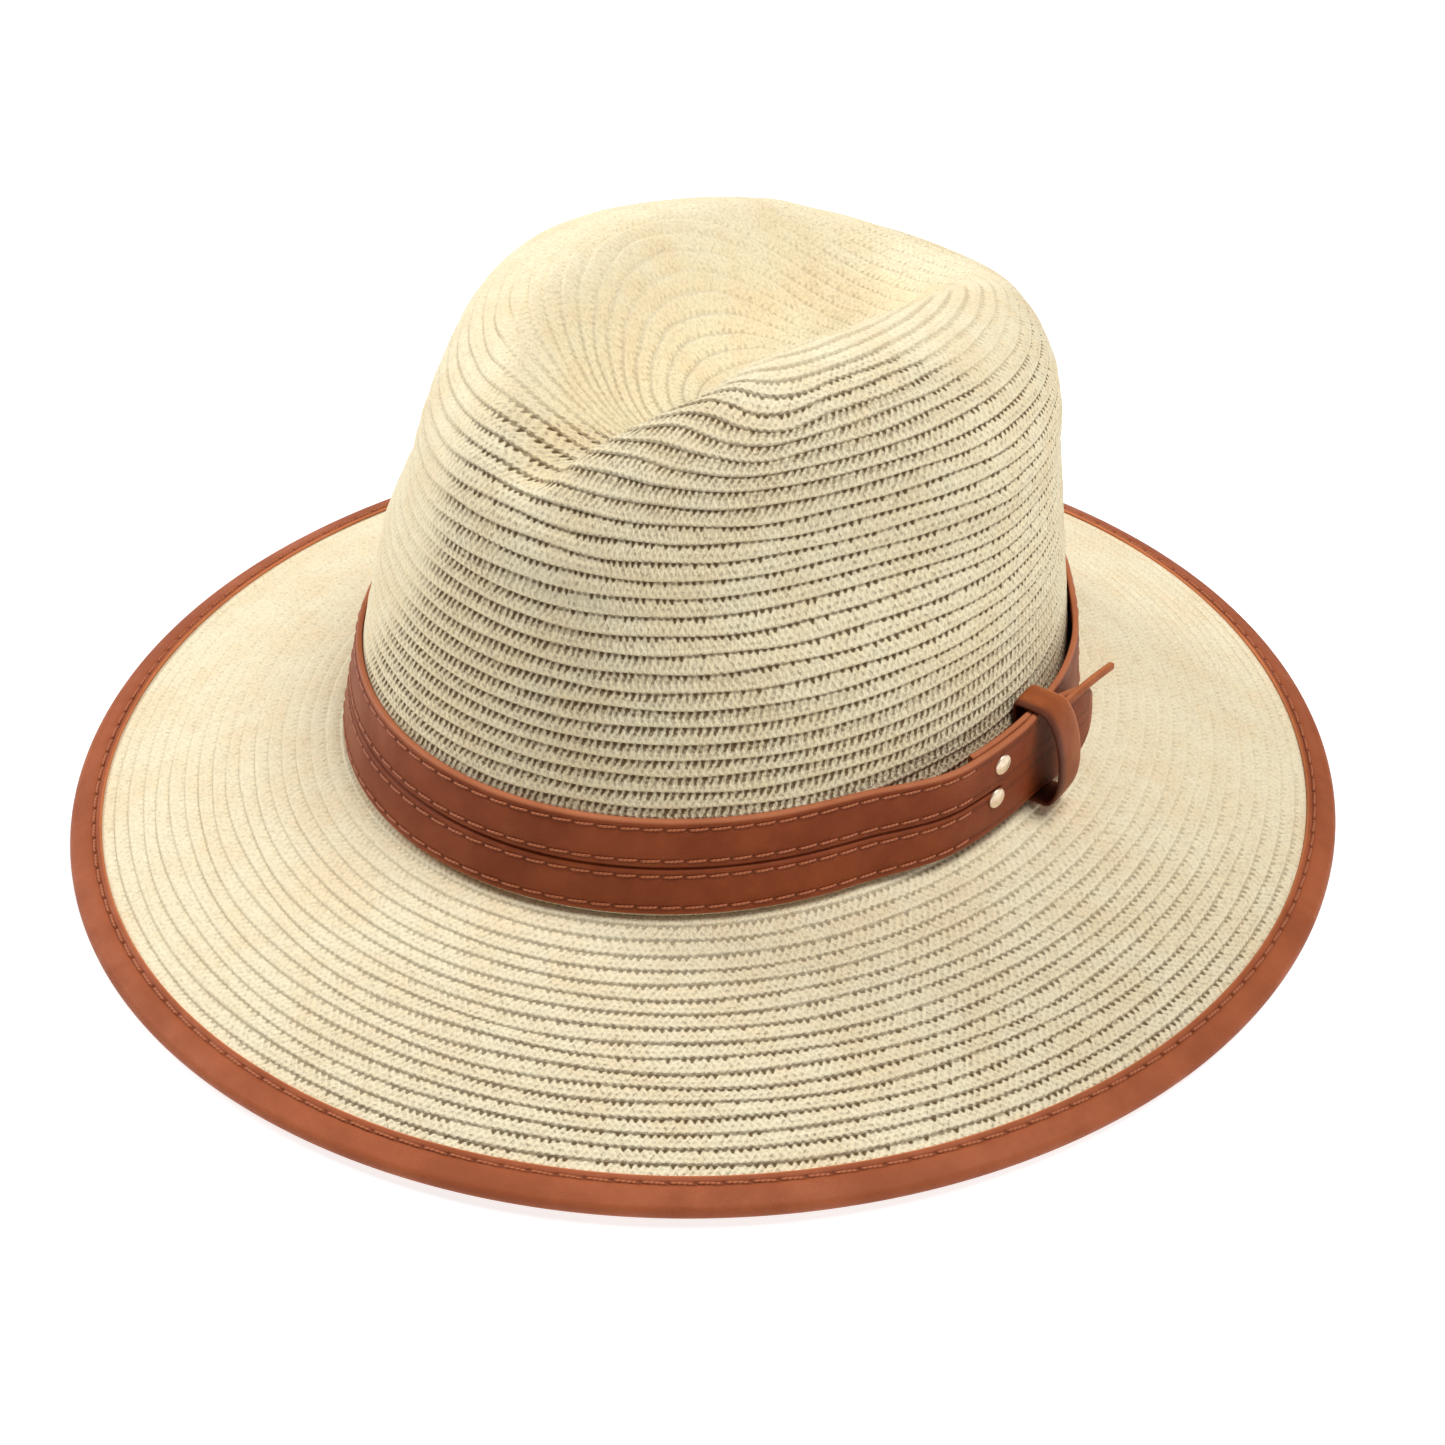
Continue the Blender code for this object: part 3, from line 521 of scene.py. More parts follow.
def cloth_material(name, light, dark):
    """Cotton twill: u and v are in mm along and across the band."""
    m = Nodes(name)
    u, v = m.wrap()
    twill = m.math("SINE", m.math("MULTIPLY", m.math("ADD", u, v), TAU / 1.1))
    weft = m.math("SINE", m.math("MULTIPLY", m.math("SUBTRACT", v, u), TAU / 0.7))
    patch = m.noise(m.place(), 60.0, 3.0, 0.6)
    tone = m.mix(m.step(patch, 0.35, 0.7), light, dark)
    tone = m.mix(m.step(twill, -0.8, 0.8, 0.35, 0.0), tone, dark)
    height = m.math("ADD", twill, m.math("MULTIPLY", weft, 0.5))
    return m.finish(tone, 0.9, m.bump(height, 0.0001, 0.8), Sheen_Weight=0.1)


def band_seams(m, v):
    """Distance from the nearest of the four seams, v being the height up the band."""
    from_middle = m.math("ABSOLUTE", m.math("SUBTRACT", v, BAND_H / 2))
    between = m.math("ABSOLUTE", m.math("SUBTRACT", from_middle, BAND_H / 4))
    return m.math("ABSOLUTE", m.math("SUBTRACT", between, BAND_H / 4 - BAND_SEAM_IN))


def bind_seam(m, v):
    return m.math("ABSOLUTE", m.math("SUBTRACT", v, BIND_SEAM_IN))


# dark leather: needle holes and pressed seams, and painted shade where the wear is under 0
DEEP_LEATHER = colour(70, 26, 10)
# the last two tuples: where painted light on the lit side washes the marks out, and where the hatched,
# shaded bands end
STRAW = braid_material("straw", colour(243, 231, 196), colour(241, 223, 184), colour(96, 68, 26),
                       (1.0, 0.0, -0.027, -0.013, 24.5), (17.0, 22.5, 110.0))
STRAW_BRIM = braid_material("straw_brim", colour(239, 227, 194), colour(237, 219, 182),
                            colour(96, 68, 26), (0.87, -0.60, 0.07, 0.175, 60.0),
                            (-2.0, -1.0, 0.0))
BINDING = leather_material("binding_leather", colour(169, 90, 52), colour(151, 77, 42),
                           colour(202, 122, 76), 0.52, bind_seam)
BAND = leather_material("band_leather", colour(146, 69, 29), colour(128, 56, 21),
                        colour(182, 108, 70), 0.5, band_seams)
LOOP = leather_material("loop_leather", colour(170, 92, 46), colour(138, 68, 30),
                        colour(200, 122, 76), 0.46)
THREAD = thread_material("stitch_thread", colour(182, 98, 50), colour(150, 76, 34))
BRASS = metal_material("rivet_brass", colour(245, 226, 200), colour(205, 175, 140), 0.75)
CLOTH = cloth_material("sweat_cloth", colour(227, 209, 171), colour(214, 194, 154))
STEEL = metal_material("wire_steel", colour(190, 190, 190), colour(120, 118, 116), 1.0)

# ---- crown and brim ----


def braided(name, at, radius, length, columns, back, material, seed, stretch=None, **kind):
    """A shell of braid rows: at(s, angle) is its outside, with s in mm from the first lip.

    back gives how far the inside lies behind the outside, and stretch how far the rows
    have moved up."""
    angle = np.linspace(0, TAU, columns, endpoint=False)[None, :]
    rows = int(length / ROW)
    rng = np.random.default_rng(seed)
    shift = rng.uniform(0, 60, rows + 3).round()
    samples = [(k + t, share) for k in range(rows) for t, share in LIP_SHAPE]
    samples += [(rows, 0.0), (rows + 0.05, 0.8), (length / ROW, 0.7)]
    behind = [(k + t, share) for k in range(rows) for t, share in UNDER_SHAPE]
    behind.append((length / ROW, 0.0))

    def rings(table, side):
        place = np.array([p for p, _ in table])[:, None]
        share = np.array([f for _, f in table])[:, None]
        wander = ROW_WANDER * waver(place, angle, seed)
        wander = wander * smooth(place, 0, 2) * smooth(rows - place, 0, 3)
        s = place * ROW + wander
        if stretch:
            s = s + stretch(place * ROW, angle)
        s = np.clip(s, 0.0, length)
        normal = surface_normals(at, np.clip(s, 0.0, length - 1.0), angle)
        if side > 0:
            lift = (share * (1 + LIP_WANDER * waver(place + 9, angle, seed + 1)) - 0.5) * LIP
        else:
            lift = -back - share * UNDER_LIP
        return at(s, angle) + normal * lift[..., None], place[:, 0]

    front, front_v = rings(samples, 1)
    rear, rear_v = rings(behind, -1)
    grid = np.concatenate([rear[::-1], front])
    v = np.concatenate([rear_v[::-1], front_v])
    low = np.floor(np.minimum(v[:-1], v[1:]) + 1e-6).astype(int)
    around = TAU * radius(np.minimum((low + 0.5) * ROW, length)) + 4 * LONG
    ticks = np.maximum(np.round(around / TICK), 8)
    first = shift[np.clip(low, 0, rows + 2)]
    u = np.linspace(0, 1, columns + 1)[None, :] * ticks[:, None] + first[:, None]
    return piece(name, grid, grid_faces(len(grid), columns), material,
                 uvs=corner_uvs(u, v), **kind)


def crown():
    length, line_r, line_z = dome_line()
    total = length[-1]

    def radius(s):
        return np.interp(total - s, length, line_r)

    def at(s, angle):
        return blocked(radius(s), angle, np.maximum(np.interp(total - s, length, line_z), GAP))

    def stretch(s, angle):
        """Pressing the front drew its rows apart below the ridge and together on the tip."""
        from_front = (angle - math.radians(RISE_DEGREES) + math.pi) % TAU - math.pi
        rise = ROW_RISE + FRONT_RISE * bell(from_front / RISE_HALF)
        rise = rise * smooth(s, RISE_FROM, RISE_TO) * (1 - smooth(s, RISE_BACK, total - 6))
        for middle, slant, half, height in ROW_WAVES:
            off = (np.degrees(angle) - middle - slant * (s - WAVE_S) + 180) % 360 - 180
            rise = rise + height * bell(off / half) * smooth(s, 92, 116) * (1 - smooth(s, 121, 131))
        return rise

    braided("crown_braid", at, radius, total, CROWN_COLUMNS, BRAID_THICK - THINNER, STRAW,
            CROWN_SEED, stretch, slot="paper_braid", replaces=["crown"])


def brim():
    slope = math.hypot(1.0, BRIM_SLOPE)
    sloping = (EDGE_R - HEAD_R) * slope
    width = sloping + BRAID_THICK

    def radius(s):
        return EDGE_R - np.minimum(s, sloping) / slope - np.maximum(s - sloping, 0.0)

    def at(s, angle):
        r = radius(s)
        return oval(r, angle, brim_z(r))

    braided("brim_braid", at, radius, width, BRIM_COLUMNS, BRIM_THICK - THINNER, STRAW_BRIM,
            BRIM_SEED, slot="paper_braid_brim", replaces=["brim"])


crown()
brim()

# ---- stitches ----


def stitches(name, at, lengths, pitch, slot, replaces, radius=STITCH_R):
    """Thread stitches between needle holes: at(length along the seam, distance out, aside)."""
    rings, sides = STITCH_RINGS, STITCH_SIDES
    t = np.linspace(0.07, 0.93, rings)
    bow = 1 - np.abs(2 * t - 1) ** 3.5
    fat = np.sqrt(np.clip(1 - np.abs(2 * t - 1) ** 6, 0.05, 1))
    start = np.asarray(lengths)[:, None]
    along = start + t[None, :] * pitch
    out = STITCH_BOW * bow - STITCH_SUNK + 0 * along
    aside = STITCH_SLANT * (t - 0.5) * 2 + 0 * along
    centre = at(along, out, aside)
    outward = unit(at(along, out + 0.5, aside) - centre)
    forward = unit(at(along + 0.1, out, aside) - centre)
    sideways = np.cross(outward, forward)
    turn = np.linspace(0, TAU, sides, endpoint=False)[:, None]
    circle = np.cos(turn) * sideways[:, :, None, :] + np.sin(turn) * outward[:, :, None, :]
    points = centre[:, :, None, :] + circle * radius * fat[None, :, None, None]
    # one stitch's sides and its two ends, for all of the stitches
    caps = np.array([[0, 3, 2, 1], [0, 5, 4, 3], [0, 7, 6, 5]])
    ends = np.concatenate([caps, caps[:, ::-1] + (rings - 1) * sides])
    offset = (np.arange(len(start)) * rings * sides)[:, None, None]
    faces = np.concatenate([(one[None] + offset).reshape(-1, 4)
                            for one in (grid_faces(rings, sides), ends)])
    cell = corner_uvs(np.tile(np.linspace(0, 1, sides + 1), (rings - 1, 1)), t)[..., ::-1]
    flat = np.zeros((len(start) * len(ends), 4, 2))
    uvs = np.concatenate([np.tile(cell, (len(start), 1, 1)), flat])
    return piece(name, points, faces, THREAD, slot=slot, replaces=replaces, uvs=uvs)


# ---- binding round the brim's edge ----


def oval_lengths(r, count=4000):
    """(angles, length up to each) round the oval of half width r."""
    angle = np.linspace(0, TAU, count + 1)
    run = np.hypot(r * np.sin(angle), (r + LONG) * np.cos(angle))
    length = np.concatenate([[0], np.cumsum((run[1:] + run[:-1]) / 2 * np.diff(angle))])
    return angle, length


def binding():
    edge_r = EDGE_R + EDGE_SPAN
    edge_z = -BRIM_SLOPE * (edge_r - HEAD_R) - BRIM_THICK / 2
    slope = math.atan(BRIM_SLOPE)
    outer = BIND_IN_R + BIND_THICK
    floor_z = -LIFT / MM + 0.02  # the skin stays just above the floor

    def at(angle, u, v):
        """u outwards along the brim from the wire's centre, v square to it."""
        r = edge_r + u * math.cos(slope) + v * math.sin(slope)
        z = edge_z - u * math.sin(slope) + v * math.cos(slope)
        return oval(r, angle, np.maximum(z, floor_z))

    seam_u = -BIND_W + BIND_SEAM_IN
    angles, lengths = oval_lengths(edge_r + seam_u * math.cos(slope))
    count = round(lengths[-1] / BIND_PITCH)
    pitch = lengths[-1] / count
    # the skin's section: its upper leaf from the cut edge outwards, the roll round the wire, the
    # lower leaf back inwards, and its inside
    across = np.array([-6.8, -6.8, -6.62, -6.3, -5.8, -5.4, -5.1, -4.9, -4.7, -4.4, -3.9, -3.2,
                       -2.4, -1.6, -0.8])
    level = np.array([1.4, 1.85, 2.06, 2.12, 2.1, 2.02, 1.9, 1.84, 1.9, 2.04, 2.16, 2.22, 2.24,
                      2.22, 2.19])
    inside_u, inside_v = [-6.2, 0.9, 0.9, -6.2], [-1.36, -0.9, 0.9, 1.36]
    roll = np.radians(np.linspace(90, -90, 17))
    skin_u = np.concatenate([across, outer * np.cos(roll), across[::-1], inside_u])
    skin_v = np.concatenate([level, outer * np.sin(roll), -level[::-1], inside_v])
    columns = int(count * BINDING_STEPS)
    step = np.arange(columns) / BINDING_STEPS
    angle = np.interp(step * pitch, lengths, angles)
    # each needle hole draws the leather in, and the leaves wave a little
    hole = 0.5 + 0.5 * np.cos(TAU * step)
    leaf = np.abs(skin_v) > 1.7
    side = np.sign(skin_v) * (bell((skin_u - seam_u) / 1.5) * leaf)
    ripple = 0.10 * waver(0.0, angle, BINDING_SEED) * leaf[:, None] * (skin_u[:, None] < -0.5)
    v = skin_v[:, None] - side[:, None] * (NEEDLE_DENT * hole - 0.08)[None, :]
    v = v + ripple * np.sign(skin_v[:, None])
    grid = at(angle[None, :], skin_u[:, None], v)
    from_edge = skin_u + BIND_W
    wear_and_painted_light = np.interp(np.abs(from_edge), [0, 0.25, 0.5], [1, 0.7, 0]) * (np.abs(skin_v) < 2.1)
    from_edge = np.clip(from_edge, 0, 20)
    u = np.tile(np.arange(columns + 1) / BINDING_STEPS, (len(skin_u), 1))
    wrap_v = np.append(from_edge, from_edge[0])
    piece("binding_skin", grid, grid_faces(len(skin_u), columns, wrap_rows=True)[:, ::-1], BINDING,
          slot="tan_leather", replaces=["brim_binding"], wear=np.repeat(wear_and_painted_light, columns),
          uvs=corner_uvs(u, wrap_v)[:, ::-1])
    for name, sign in (("top", 1), ("under", -1)):
        def seam(along, out, aside, sign=sign):
            a = np.interp(along % lengths[-1], lengths, angles)
            return at(a, seam_u + aside, sign * (BINDING_SEAM_V + out))
        stitches(f"binding_stitches_{name}", seam, np.arange(count) * pitch, pitch,
                 "tan_thread", [f"binding_thread_{name}"])


binding()

# ---- hatband ----


def band_lift(degrees, z):
    """How far the band's inner face stands off the crown at this place along its length."""
    inner = BAND_OFF + (KNOT_LIFT_INNER - BAND_OFF) * (1 - smooth(degrees, 24, 46))
    outer = BAND_OFF + (KNOT_LIFT_OUTER - BAND_OFF) * smooth(degrees, 334, 350)
    outer = outer + TIP_SPRING * smooth(degrees, 365, OUTER_END)
    outer_tipped = smooth(degrees, 328, 350) * (1 - 0.5 * smooth(degrees, 362, 372))
    tipped = np.where(degrees < 180, 1 - smooth(degrees, 12, 40), outer_tipped)
    return np.where(degrees < 180, inner, outer) + KNOT_LEAN * tipped * (z - BAND_Z - 3.0)


def band_at(degrees, z, out):
    return oval(wall_r(z) + band_lift(degrees, z) + out, np.radians(degrees), z)


def band_lengths():
    degrees = np.arange(INNER_END, OUTER_END + 0.01, 0.25)
    line = band_at(degrees, BAND_Z + BAND_H / 2, BAND_THICK)
    return degrees, np.concatenate([[0], np.cumsum(np.linalg.norm(np.diff(line, axis=0), axis=1))])


def strip_profile():
    """Half of the band's face, from its long edge to the slit: (distance from that edge, distance
    out of the band's back, share of pale edge: wear on the cut edges, and painted highlight)."""
    full = BAND_THICK
    return [
        (0.10, 0.05, 0.3), (0.0, 0.3, 1.0), (0.0, full - 0.5, 1.0), (0.12, full - 0.2, 1.0),
        (0.38, full - 0.02, 0.8), (0.8, full + 0.05, 0.0), (1.3, full + 0.03, 0.0),
        (1.7, full - 0.1, 0.0), (2.0, full - 0.17, 0.0), (2.3, full - 0.1, 0.0),
        (2.8, full + 0.06, 0.0), (4.4, full + 0.10, 0.0), (6.0, full + 0.12, 0.0),
        (7.6, full + 0.10, 0.0), (9.2, full + 0.06, 0.0), (9.7, full - 0.1, 0.0),
        (10.0, full - 0.17, 0.0), (10.3, full - 0.1, 0.0), (10.8, full + 0.03, 0.0),
        (11.25, full + 0.02, 0.0), (11.52, full - 0.2, 0.25), (11.62, full - 0.5, 0.0),
        (11.65, full - SLIT_DEEP, 0.0),
    ]


def hatband():
    degrees_all, length_all = band_lengths()
    half = strip_profile()
    height = np.array([h for h, _, _ in half] + [BAND_H - h for h, _, _ in reversed(half)])
    out = np.array([o for _, o, _ in half] + [o for _, o, _ in reversed(half)])
    # the lower strip's edges get half: the upper strip's are painted paler, a painted highlight from
    # above, over the pale cut edges
    wear_and_painted_light = np.array([w for _, _, w in half] + [w * 0.5 for _, _, w in reversed(half)])
    height = BAND_H - height  # the first half is the upper strip
    middle = BAND_H / 2
    from_middle = height - middle
    # places along the strap, closer together at its round end, where its edges draw in
    last = OUTER_END - TIP_DEGREES
    tip = last + TIP_DEGREES * np.sin(np.linspace(0, math.pi / 2, 14))
    stations = np.concatenate([np.arange(INNER_END, last, 1.0), tip])
    rounded = 1 - np.sqrt(np.clip(1 - ((stations - last) / TIP_DEGREES) ** 2, 0, 1))
    inset = np.minimum(np.where(stations > last, TIP_R * rounded, 0.0), TIP_MOST)
    # where the slit is open, and where there are seams
    open_slit = smooth(stations, SLIT_START - 1, SLIT_START)
    open_slit = open_slit * (1 - smooth(stations, VISIBLE_SLIT_END - 0.8, VISIBLE_SLIT_END + 0.4))
    sewn = smooth(stations, STITCH_FROM - 1.5, STITCH_FROM)
    sewn = sewn * (1 - smooth(stations, STITCH_TO, STITCH_TO + 1.5))
    face = BAND_THICK + 0.08
    in_slit = np.abs(from_middle) < 0.9
    groove = (out < face) & (np.abs(from_middle) > 1.2) & (height > 1.0) & (height < BAND_H - 1.0)
    depth = (out - face)[None]
    depth = np.where(in_slit[None], depth * open_slit[:, None],
                     np.where(groove[None], depth * sewn[:, None], depth))
    # the slit's walls close up where it ends
    closed = middle + from_middle[None] * (0.25 + 0.75 * open_slit[:, None])
    closed = np.where(in_slit[None] & (open_slit[:, None] < 1), closed, height[None])
    z = BAND_Z + middle + (closed - middle) * ((middle - inset)[:, None] / middle)
    grid = band_at(stations[:, None], z, face + depth)
    count = grid.shape[1]
    lengths = np.interp(stations, degrees_all, length_all) / BAND_PITCH
    faces = grid_faces(len(stations), count)
    v = np.append(height, height[0])
    u0, u1, v0, v1 = np.broadcast_arrays(lengths[:-1, None], lengths[1:, None], v[:-1], v[1:])
    corners = [np.stack(pair, -1) for pair in ((u0, v0), (u0, v1), (u1, v1), (u1, v0))]
    uvs = np.stack(corners, 2).reshape(-1, 4, 2)
    # the two ends are closed with quads across the section
    caps = []
    for base, flip in ((0, False), ((len(stations) - 1) * count, True)):
        for i in range(count // 2 - 1):
            quad = [base + i, base + i + 1, base + count - 2 - i, base + count - 1 - i]
            caps.append(quad[::-1] if flip else quad)
    faces = np.concatenate([faces, caps])
    uvs = np.concatenate([uvs, np.zeros((len(caps), 4, 2))])
    wear = np.tile(wear_and_painted_light, (len(stations), 1))
    end = stations > OUTER_END - 1.2
    wear[end] = np.maximum(wear[end], 0.6)
    piece("hatband_strap", grid, faces, BAND, slot="hatband_leather", replaces=["hatband"],
          uvs=uvs, wear=wear)
    from_l, to_l = np.interp([STITCH_FROM, STITCH_TO], degrees_all, length_all)
    first = math.ceil(from_l / BAND_PITCH)
    starts = np.arange(first, math.floor(to_l / BAND_PITCH)) * BAND_PITCH
    seams = (BAND_SEAM_IN, middle - BAND_SEAM_IN, middle + BAND_SEAM_IN, BAND_H - BAND_SEAM_IN)
    for number, z in enumerate(seams, 1):
        def seam(along, out, aside, z=z):
            d = np.interp(along, length_all, degrees_all)
            return band_at(d, BAND_Z + z + aside, BAND_THICK - 0.05 + out)
        stitches(f"band_stitches_{number}", seam, starts, BAND_PITCH, "tan_thread",
                 [f"band_thread_{number}"], BAND_STITCH_R)


hatband()

# ---- rivets ----


def crown_side(y, z):
    """Foot on the crown's side with the directions out of it, along it backwards and up it."""
    lean = math.atan(CROWN_TAPER / (CROWN_H - CROWN_CORNER)) - math.atan(KNOT_LEAN)
    angle = math.asin(y / (wall_r(z) + LONG))
    foot = oval(wall_r(z), angle, z)
    along = np.array([math.sin(RIVET_TURN), math.cos(RIVET_TURN), 0.0])
    out = math.cos(lean) * np.array([along[1], -along[0], 0.0]) + [0.0, 0.0, math.sin(lean)]
    return foot, out, along, np.cross(out, along)


def rivets():
    """Pressed caps: a rolled rim, a shallow ring and a low dome."""
    turn = np.linspace(0, TAU, RIVET_SIDES, endpoint=False)[None, :, None]
    for name, y, z in RIVETS:
        seat = band_lift(359.0, z) + BAND_THICK + 0.12
        # (distance from the crown, radius), from the shank's foot to the middle of the cap
        profile = np.array([
            (seat - 3.4, 0.05), (seat - 3.4, RIVET_POST_R), (seat, RIVET_POST_R), (seat, 2.45),
            (seat + 0.22, RIVET_R), (seat + 0.5, 2.54), (seat + 0.66, 2.36), (seat + 0.64, 2.15),
            (seat + 0.68, 1.95), (seat + 0.88, 1.4), (seat + 1.0, 0.75), (seat + 1.04, 0.04),
        ])
        foot, out, along, up = crown_side(y, z)
        far, radius = profile[:, 0][:, None, None], profile[:, 1][:, None, None]
        points = foot + out * far + radius * (np.cos(turn) * along + np.sin(turn) * up)
        piece(f"{name}_cap", points, grid_faces(len(profile), RIVET_SIDES), BRASS,
              slot="pale_brass", replaces=[name])


rivets()

# ---- keeper loop and its tail ----


def keeper_place(distance, z, y):
    """A point at this distance from the crown's side, in a straight run along the tangent."""
    middle = (KEEPER_Y0 + KEEPER_Y1) / 2
    angle = math.asin(middle / (HEAD_R + LONG))
    normal = unit(np.array([math.cos(angle) * (HEAD_R + LONG), math.sin(angle) * HEAD_R, 0.0]))
    tangent = np.array([-normal[1], normal[0], 0.0])
    distance, z, y = np.broadcast_arrays(distance, z, y)
    foot = oval(wall_r(z), angle, z)
    return foot + normal * distance[..., None] + tangent * (y - middle)[..., None]


def loop_outline(count):
    """The loop's outer line, evenly stepped: (distance from the crown, height up it)."""
    low = BAND_Z - KEEPER_SPARE - KEEPER_T
    high = BAND_Z + BAND_H + KEEPER_SPARE + KEEPER_T
    mid, half = (low + high) / 2, (high - low) / 2
    face = KNOT_LIFT_OUTER + BAND_THICK
    line = [(KEEPER_BACK, mid), (KEEPER_BACK, high - 1.0), (KEEPER_BACK + 0.3, high - 0.25),
            (KEEPER_BACK + 1.0, high), (face - 1.0, high)]
    for a in np.radians(np.linspace(70, -70, 29)):
        reach = (KEEPER_BULGE - face) * math.cos(a) ** 0.7
        line.append((face + reach, mid + half * math.sin(a) * 1.04))
    line += [(face - 1.0, low), (KEEPER_BACK + 1.0, low), (KEEPER_BACK + 0.3, low + 0.25),
             (KEEPER_BACK, low + 1.0), (KEEPER_BACK, mid)]
    line = np.array(line)
    run = np.concatenate([[0], np.cumsum(np.hypot(*np.diff(line, axis=0).T))])
    even = np.linspace(0, run[-1], count, endpoint=False)
    line = np.stack([np.interp(even, run, line[:, 0]), np.interp(even, run, line[:, 1])], -1)
    for _ in range(3):
        line = 0.5 * line + 0.25 * (np.roll(line, 1, 0) + np.roll(line, -1, 0))
    return line


def keeper():
    """A wide lace turned round both layers of the band, rounded at its edges."""
    line = loop_outline(LOOP_STEPS)
    ahead = unit(np.roll(line, -1, 0) - np.roll(line, 1, 0))
    inward = np.stack([ahead[:, 1], -ahead[:, 0]], -1)
    if ((line.mean(0) - line) * inward).sum() < 0:
        inward = -inward
    width = KEEPER_Y1 - KEEPER_Y0
    # (share of the width, share of the thickness inwards, wear): round the strip's section. The
    # inside and the first edge have wear under 0, dark painted shade; the other edge is pale.
    section = [(0.03, 0.12, -0.9), (0.0, 0.35, -0.9), (0.0, 0.7, -0.9), (0.03, 1.0, -0.9),
               (0.25, 1.0, -1), (0.5, 1.0, -1), (0.75, 1.0, -1), (0.97, 1.0, -0.6),
               (1.0, 0.7, 0.2), (1.0, 0.35, 0.6), (0.97, 0.12, 0.7), (0.9, 0.0, 0.1),
               (0.7, -0.1, 0), (0.5, -0.14, 0), (0.3, -0.1, -0.15), (0.1, 0.0, -0.8)]
    out = smooth(line[:, 0], 5, KEEPER_BULGE)
    rows = []
    for share, deep, _ in section:
        place = line + inward * (deep * KEEPER_T)
        y = KEEPER_Y0 + width * share + (share - 0.5) * 1.2 * out
        rows.append(keeper_place(place[:, 0], place[:, 1], y))
    grid = np.stack(rows)
    u = np.tile(np.linspace(0, 20, LOOP_STEPS + 1), (len(section), 1))
    v = np.linspace(0, 4, len(section) + 1)
    wear = np.repeat([wear_and_painted_light for _, _, wear_and_painted_light in section], LOOP_STEPS)
    piece("keeper_strip", grid, grid_faces(len(section), LOOP_STEPS, wrap_rows=True)[:, ::-1],
          LOOP, body="keeper", slot="hatband_leather", replaces=["keeper_loop"],
          wear=wear, uvs=corner_uvs(u, v)[:, ::-1])


def tail():
    """The lace's narrow end: it leaves the loop backwards and stands straight out and up."""
    t = np.append(np.linspace(0, 0.95, 22), 1 - 0.05 * (1 - np.sin(np.linspace(0.2, 1.5, 8))))
    root_d, root_z = KEEPER_BULGE - 4.7 + TAIL_T / 2, BAND_Z + BAND_H - 1.2
    far = root_d + TAIL_OUT * t
    height = root_z + TAIL_UP * t + 0.5 * np.sin(t * math.pi)
    y = KEEPER_Y1 + GAP - 0.1 + TAIL_L * t
    end = np.clip((t - 0.95) / 0.05, 0, 1)
    size = (1.0 - 0.12 * t) * np.sqrt(1 - 0.97 * end * end)
    turn = np.linspace(0, TAU, TAIL_SIDES, endpoint=False)
    across = np.sign(np.cos(turn)) * np.abs(np.cos(turn)) ** 0.6 * TAIL_T / 2
    tall = np.sign(np.sin(turn)) * np.abs(np.sin(turn)) ** 0.6 * TAIL_W / 2
    points = keeper_place(far[:, None] + across * size[:, None],
                          height[:, None] + tall * size[:, None], y[:, None] + 0 * turn)
    faces = grid_faces(len(t), TAIL_SIDES)[:, ::-1]
    piece("keeper_lace_end", points, faces, LOOP, body="keeper", slot="hatband_leather",
          replaces=["keeper_tail"], wear=np.tile(np.abs(np.sin(turn)) ** 4 * 0.7, len(t)))


keeper()
tail()

# ---- sweatband ----


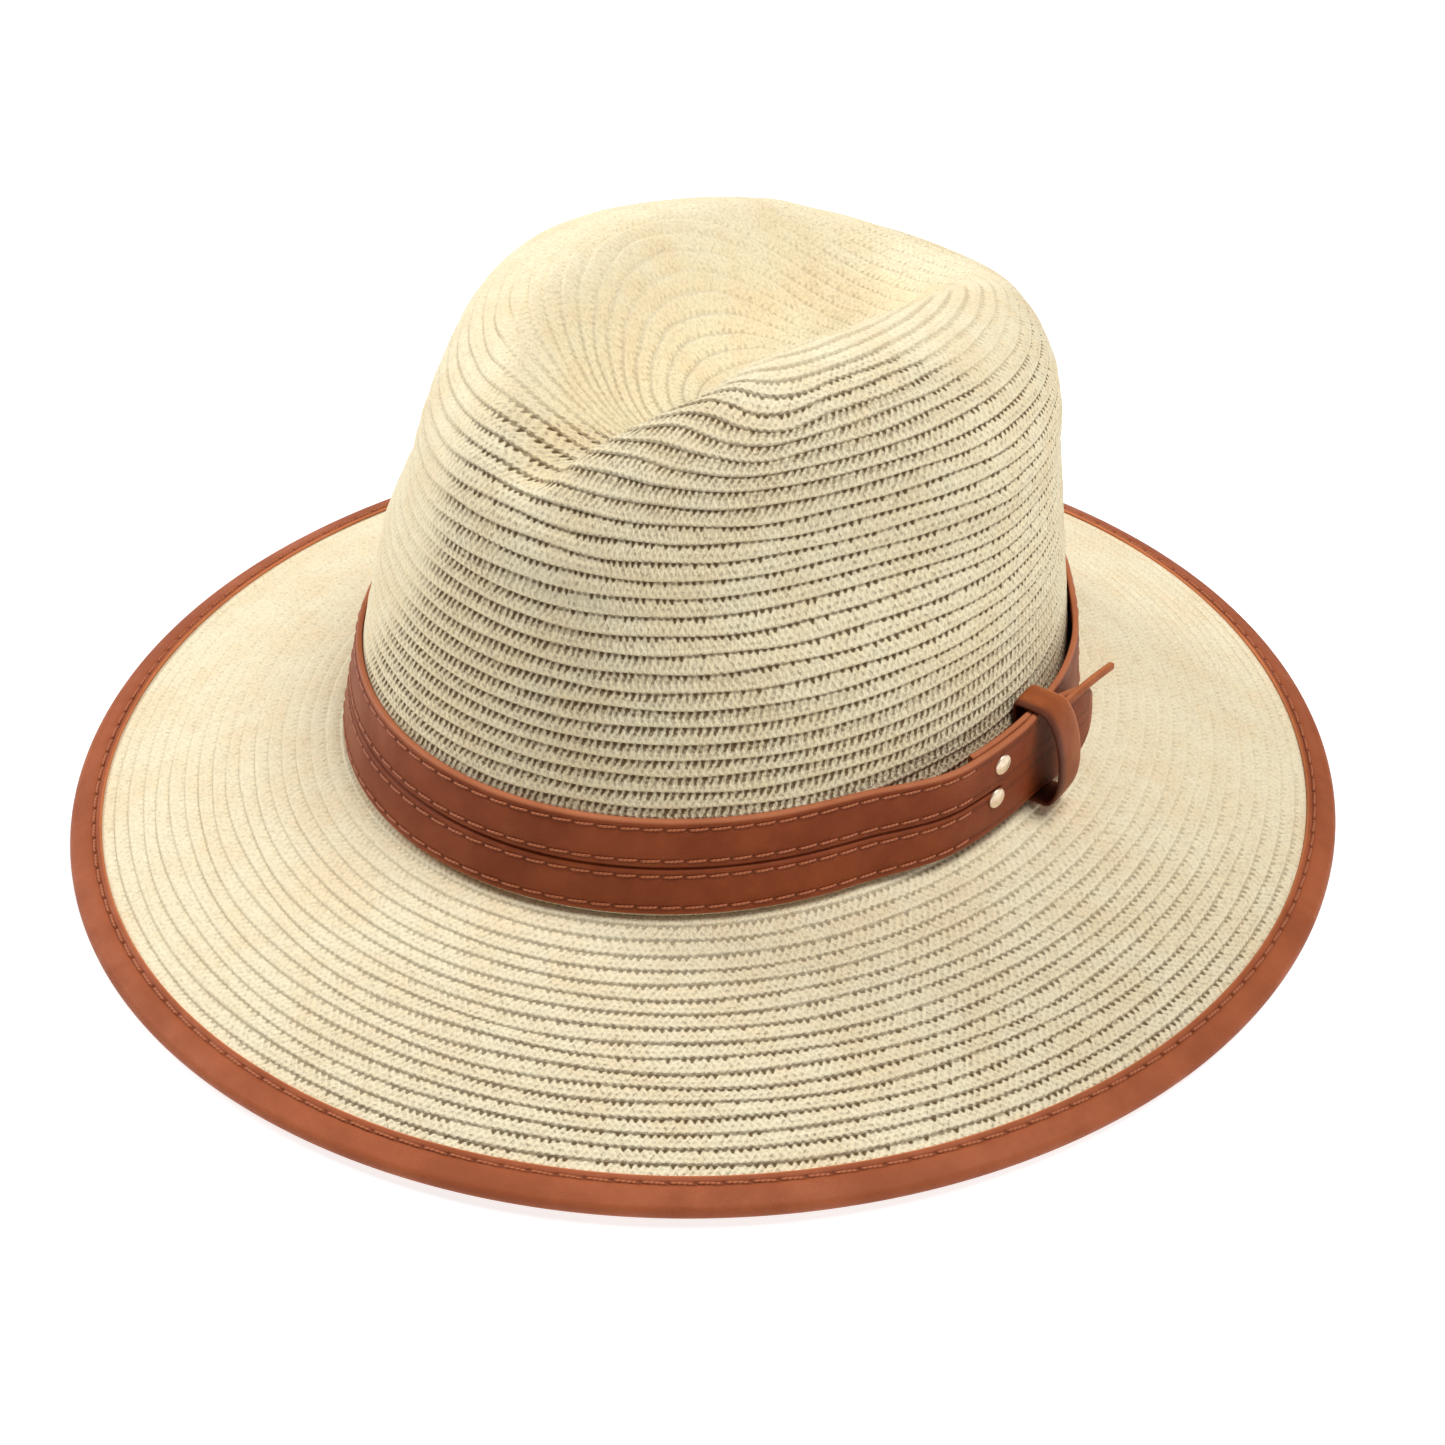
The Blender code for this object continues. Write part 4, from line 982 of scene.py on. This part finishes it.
def sweatband():
    """Folded cotton strip, with a hem along its top and a seam along its foot."""
    top = SWEAT_Z + SWEAT_H
    gap = BRAID_THICK + 0.5
    angles, lengths = oval_lengths(HEAD_R - gap)
    columns = SWEAT_COLUMNS
    angle = np.linspace(0, TAU, columns, endpoint=False)
    # (height, how far in from the strip's back)
    section = [(SWEAT_Z + 0.1, 0.1), (top - 0.2, 0.1), (top, 0.35), (top, 0.85),
               (top - 0.25, 1.12), (top - 1.2, 1.18), (top - 2.6, 1.14), (top - 3.0, 0.98),
               (top - 3.2, 0.92), (top - 6.0, 0.98), (top - 14.0, 1.04), (SWEAT_Z + 6.0, 1.02),
               (SWEAT_Z + 3.6, 1.0), (SWEAT_Z + SWEAT_SEAM_UP, 0.8), (SWEAT_Z + 2.4, 1.0),
               (SWEAT_Z + 0.8, 1.06), (SWEAT_Z + 0.2, 0.95), (SWEAT_Z, 0.5)]
    rows = []
    for z, deep in section:
        ease = 0.16 * waver(z / 9, angle, SWEAT_SEED) * (deep > 0.9)
        rows.append(oval(wall_r(z) - gap - deep * SWEAT_THICK - ease, angle, z))
    run = [0.0]
    for (z0, d0), (z1, d1) in zip(section, section[1:] + section[:1]):
        run.append(run[-1] + math.hypot(z1 - z0, d1 - d0))
    u = np.tile(np.linspace(0, round(lengths[-1]), columns + 1), (len(section), 1))
    piece("sweatband_cotton", np.stack(rows), grid_faces(len(section), columns, wrap_rows=True),
          CLOTH, slot="sweatband_cloth", replaces=["sweatband"], uvs=corner_uvs(u, np.array(run)))
    count = round(lengths[-1] / SWEAT_PITCH)
    pitch = lengths[-1] / count

    def seam(along, out, aside):
        a = np.interp(along % lengths[-1], lengths, angles)
        z = SWEAT_Z + SWEAT_SEAM_UP + aside
        return oval(wall_r(z) - gap - SWEAT_THICK * 0.86 - out, a, z)
    stitches("sweatband_stitches", seam, np.arange(count) * pitch, pitch, "tan_thread",
             ["sweatband_thread"], SWEAT_STITCH_R)


sweatband()
wire = frame["nodes"]["brim_wire"]
wire.data.materials.clear()
wire.data.materials.append(STEEL)

# ---- floor, light and finish ----

WORLD_COLOUR, WORLD_STRENGTH = (1.0, 0.99, 0.98, 1.0), 0.18
FLOOR_HALF, FLOOR_GLOW = 30.0, 0.78
# (name, azimuth, elevation, distance, size, share of full white on a surface facing it)
LAMPS = (("key", -75, 33, 3.2, 1.3, 0.58), ("top", 112, 74, 3.2, 1.6, 0.77),
         ("fill", 118, 30, 3.2, 1.6, 0.12))


def stage():
    world_data = bpy.data.worlds.new("studio")
    bpy.context.scene.world = world_data
    world_data.use_nodes = True
    back = world_data.node_tree.nodes["Background"]
    back.inputs[0].default_value = WORLD_COLOUR
    back.inputs[1].default_value = WORLD_STRENGTH
    mesh = bpy.data.meshes.new("floor")
    far = FLOOR_HALF
    corners = [(-far, -far, 0), (far, -far, 0), (far, far, 0), (-far, far, 0)]
    mesh.from_pydata(corners, [], [(0, 1, 2, 3)])
    m = Nodes("floor_paper")
    speck = m.noise(m.place(), 60.0)
    paper = m.finish(m.mix(speck, (0.46, 0.46, 0.46, 1), (0.48, 0.48, 0.48, 1)), 0.9,
                     m.bump(speck, 0.0002, 0.1), Emission_Color=(1, 1, 1, 1),
                     Emission_Strength=FLOOR_GLOW)
    mesh.materials.append(paper)
    obj = bpy.data.objects.new("floor", mesh)
    bpy.context.scene.collection.objects.link(obj)
    for name, azimuth, elevation, distance, width, share in LAMPS:
        data = bpy.data.lights.new(name, "AREA")
        data.shape, data.size, data.energy = "DISK", width, share * (math.pi * distance) ** 2
        lamp = bpy.data.objects.new(name, data)
        a, e = math.radians(azimuth), math.radians(elevation)
        away = Vector((math.sin(a) * math.cos(e), -math.cos(a) * math.cos(e), math.sin(e)))
        lamp.location = away * distance
        lamp.rotation_euler = away.to_track_quat("Z", "Y").to_euler()
        bpy.context.scene.collection.objects.link(lamp)


stage()
bpy.context.scene.view_settings.view_transform = "Standard"
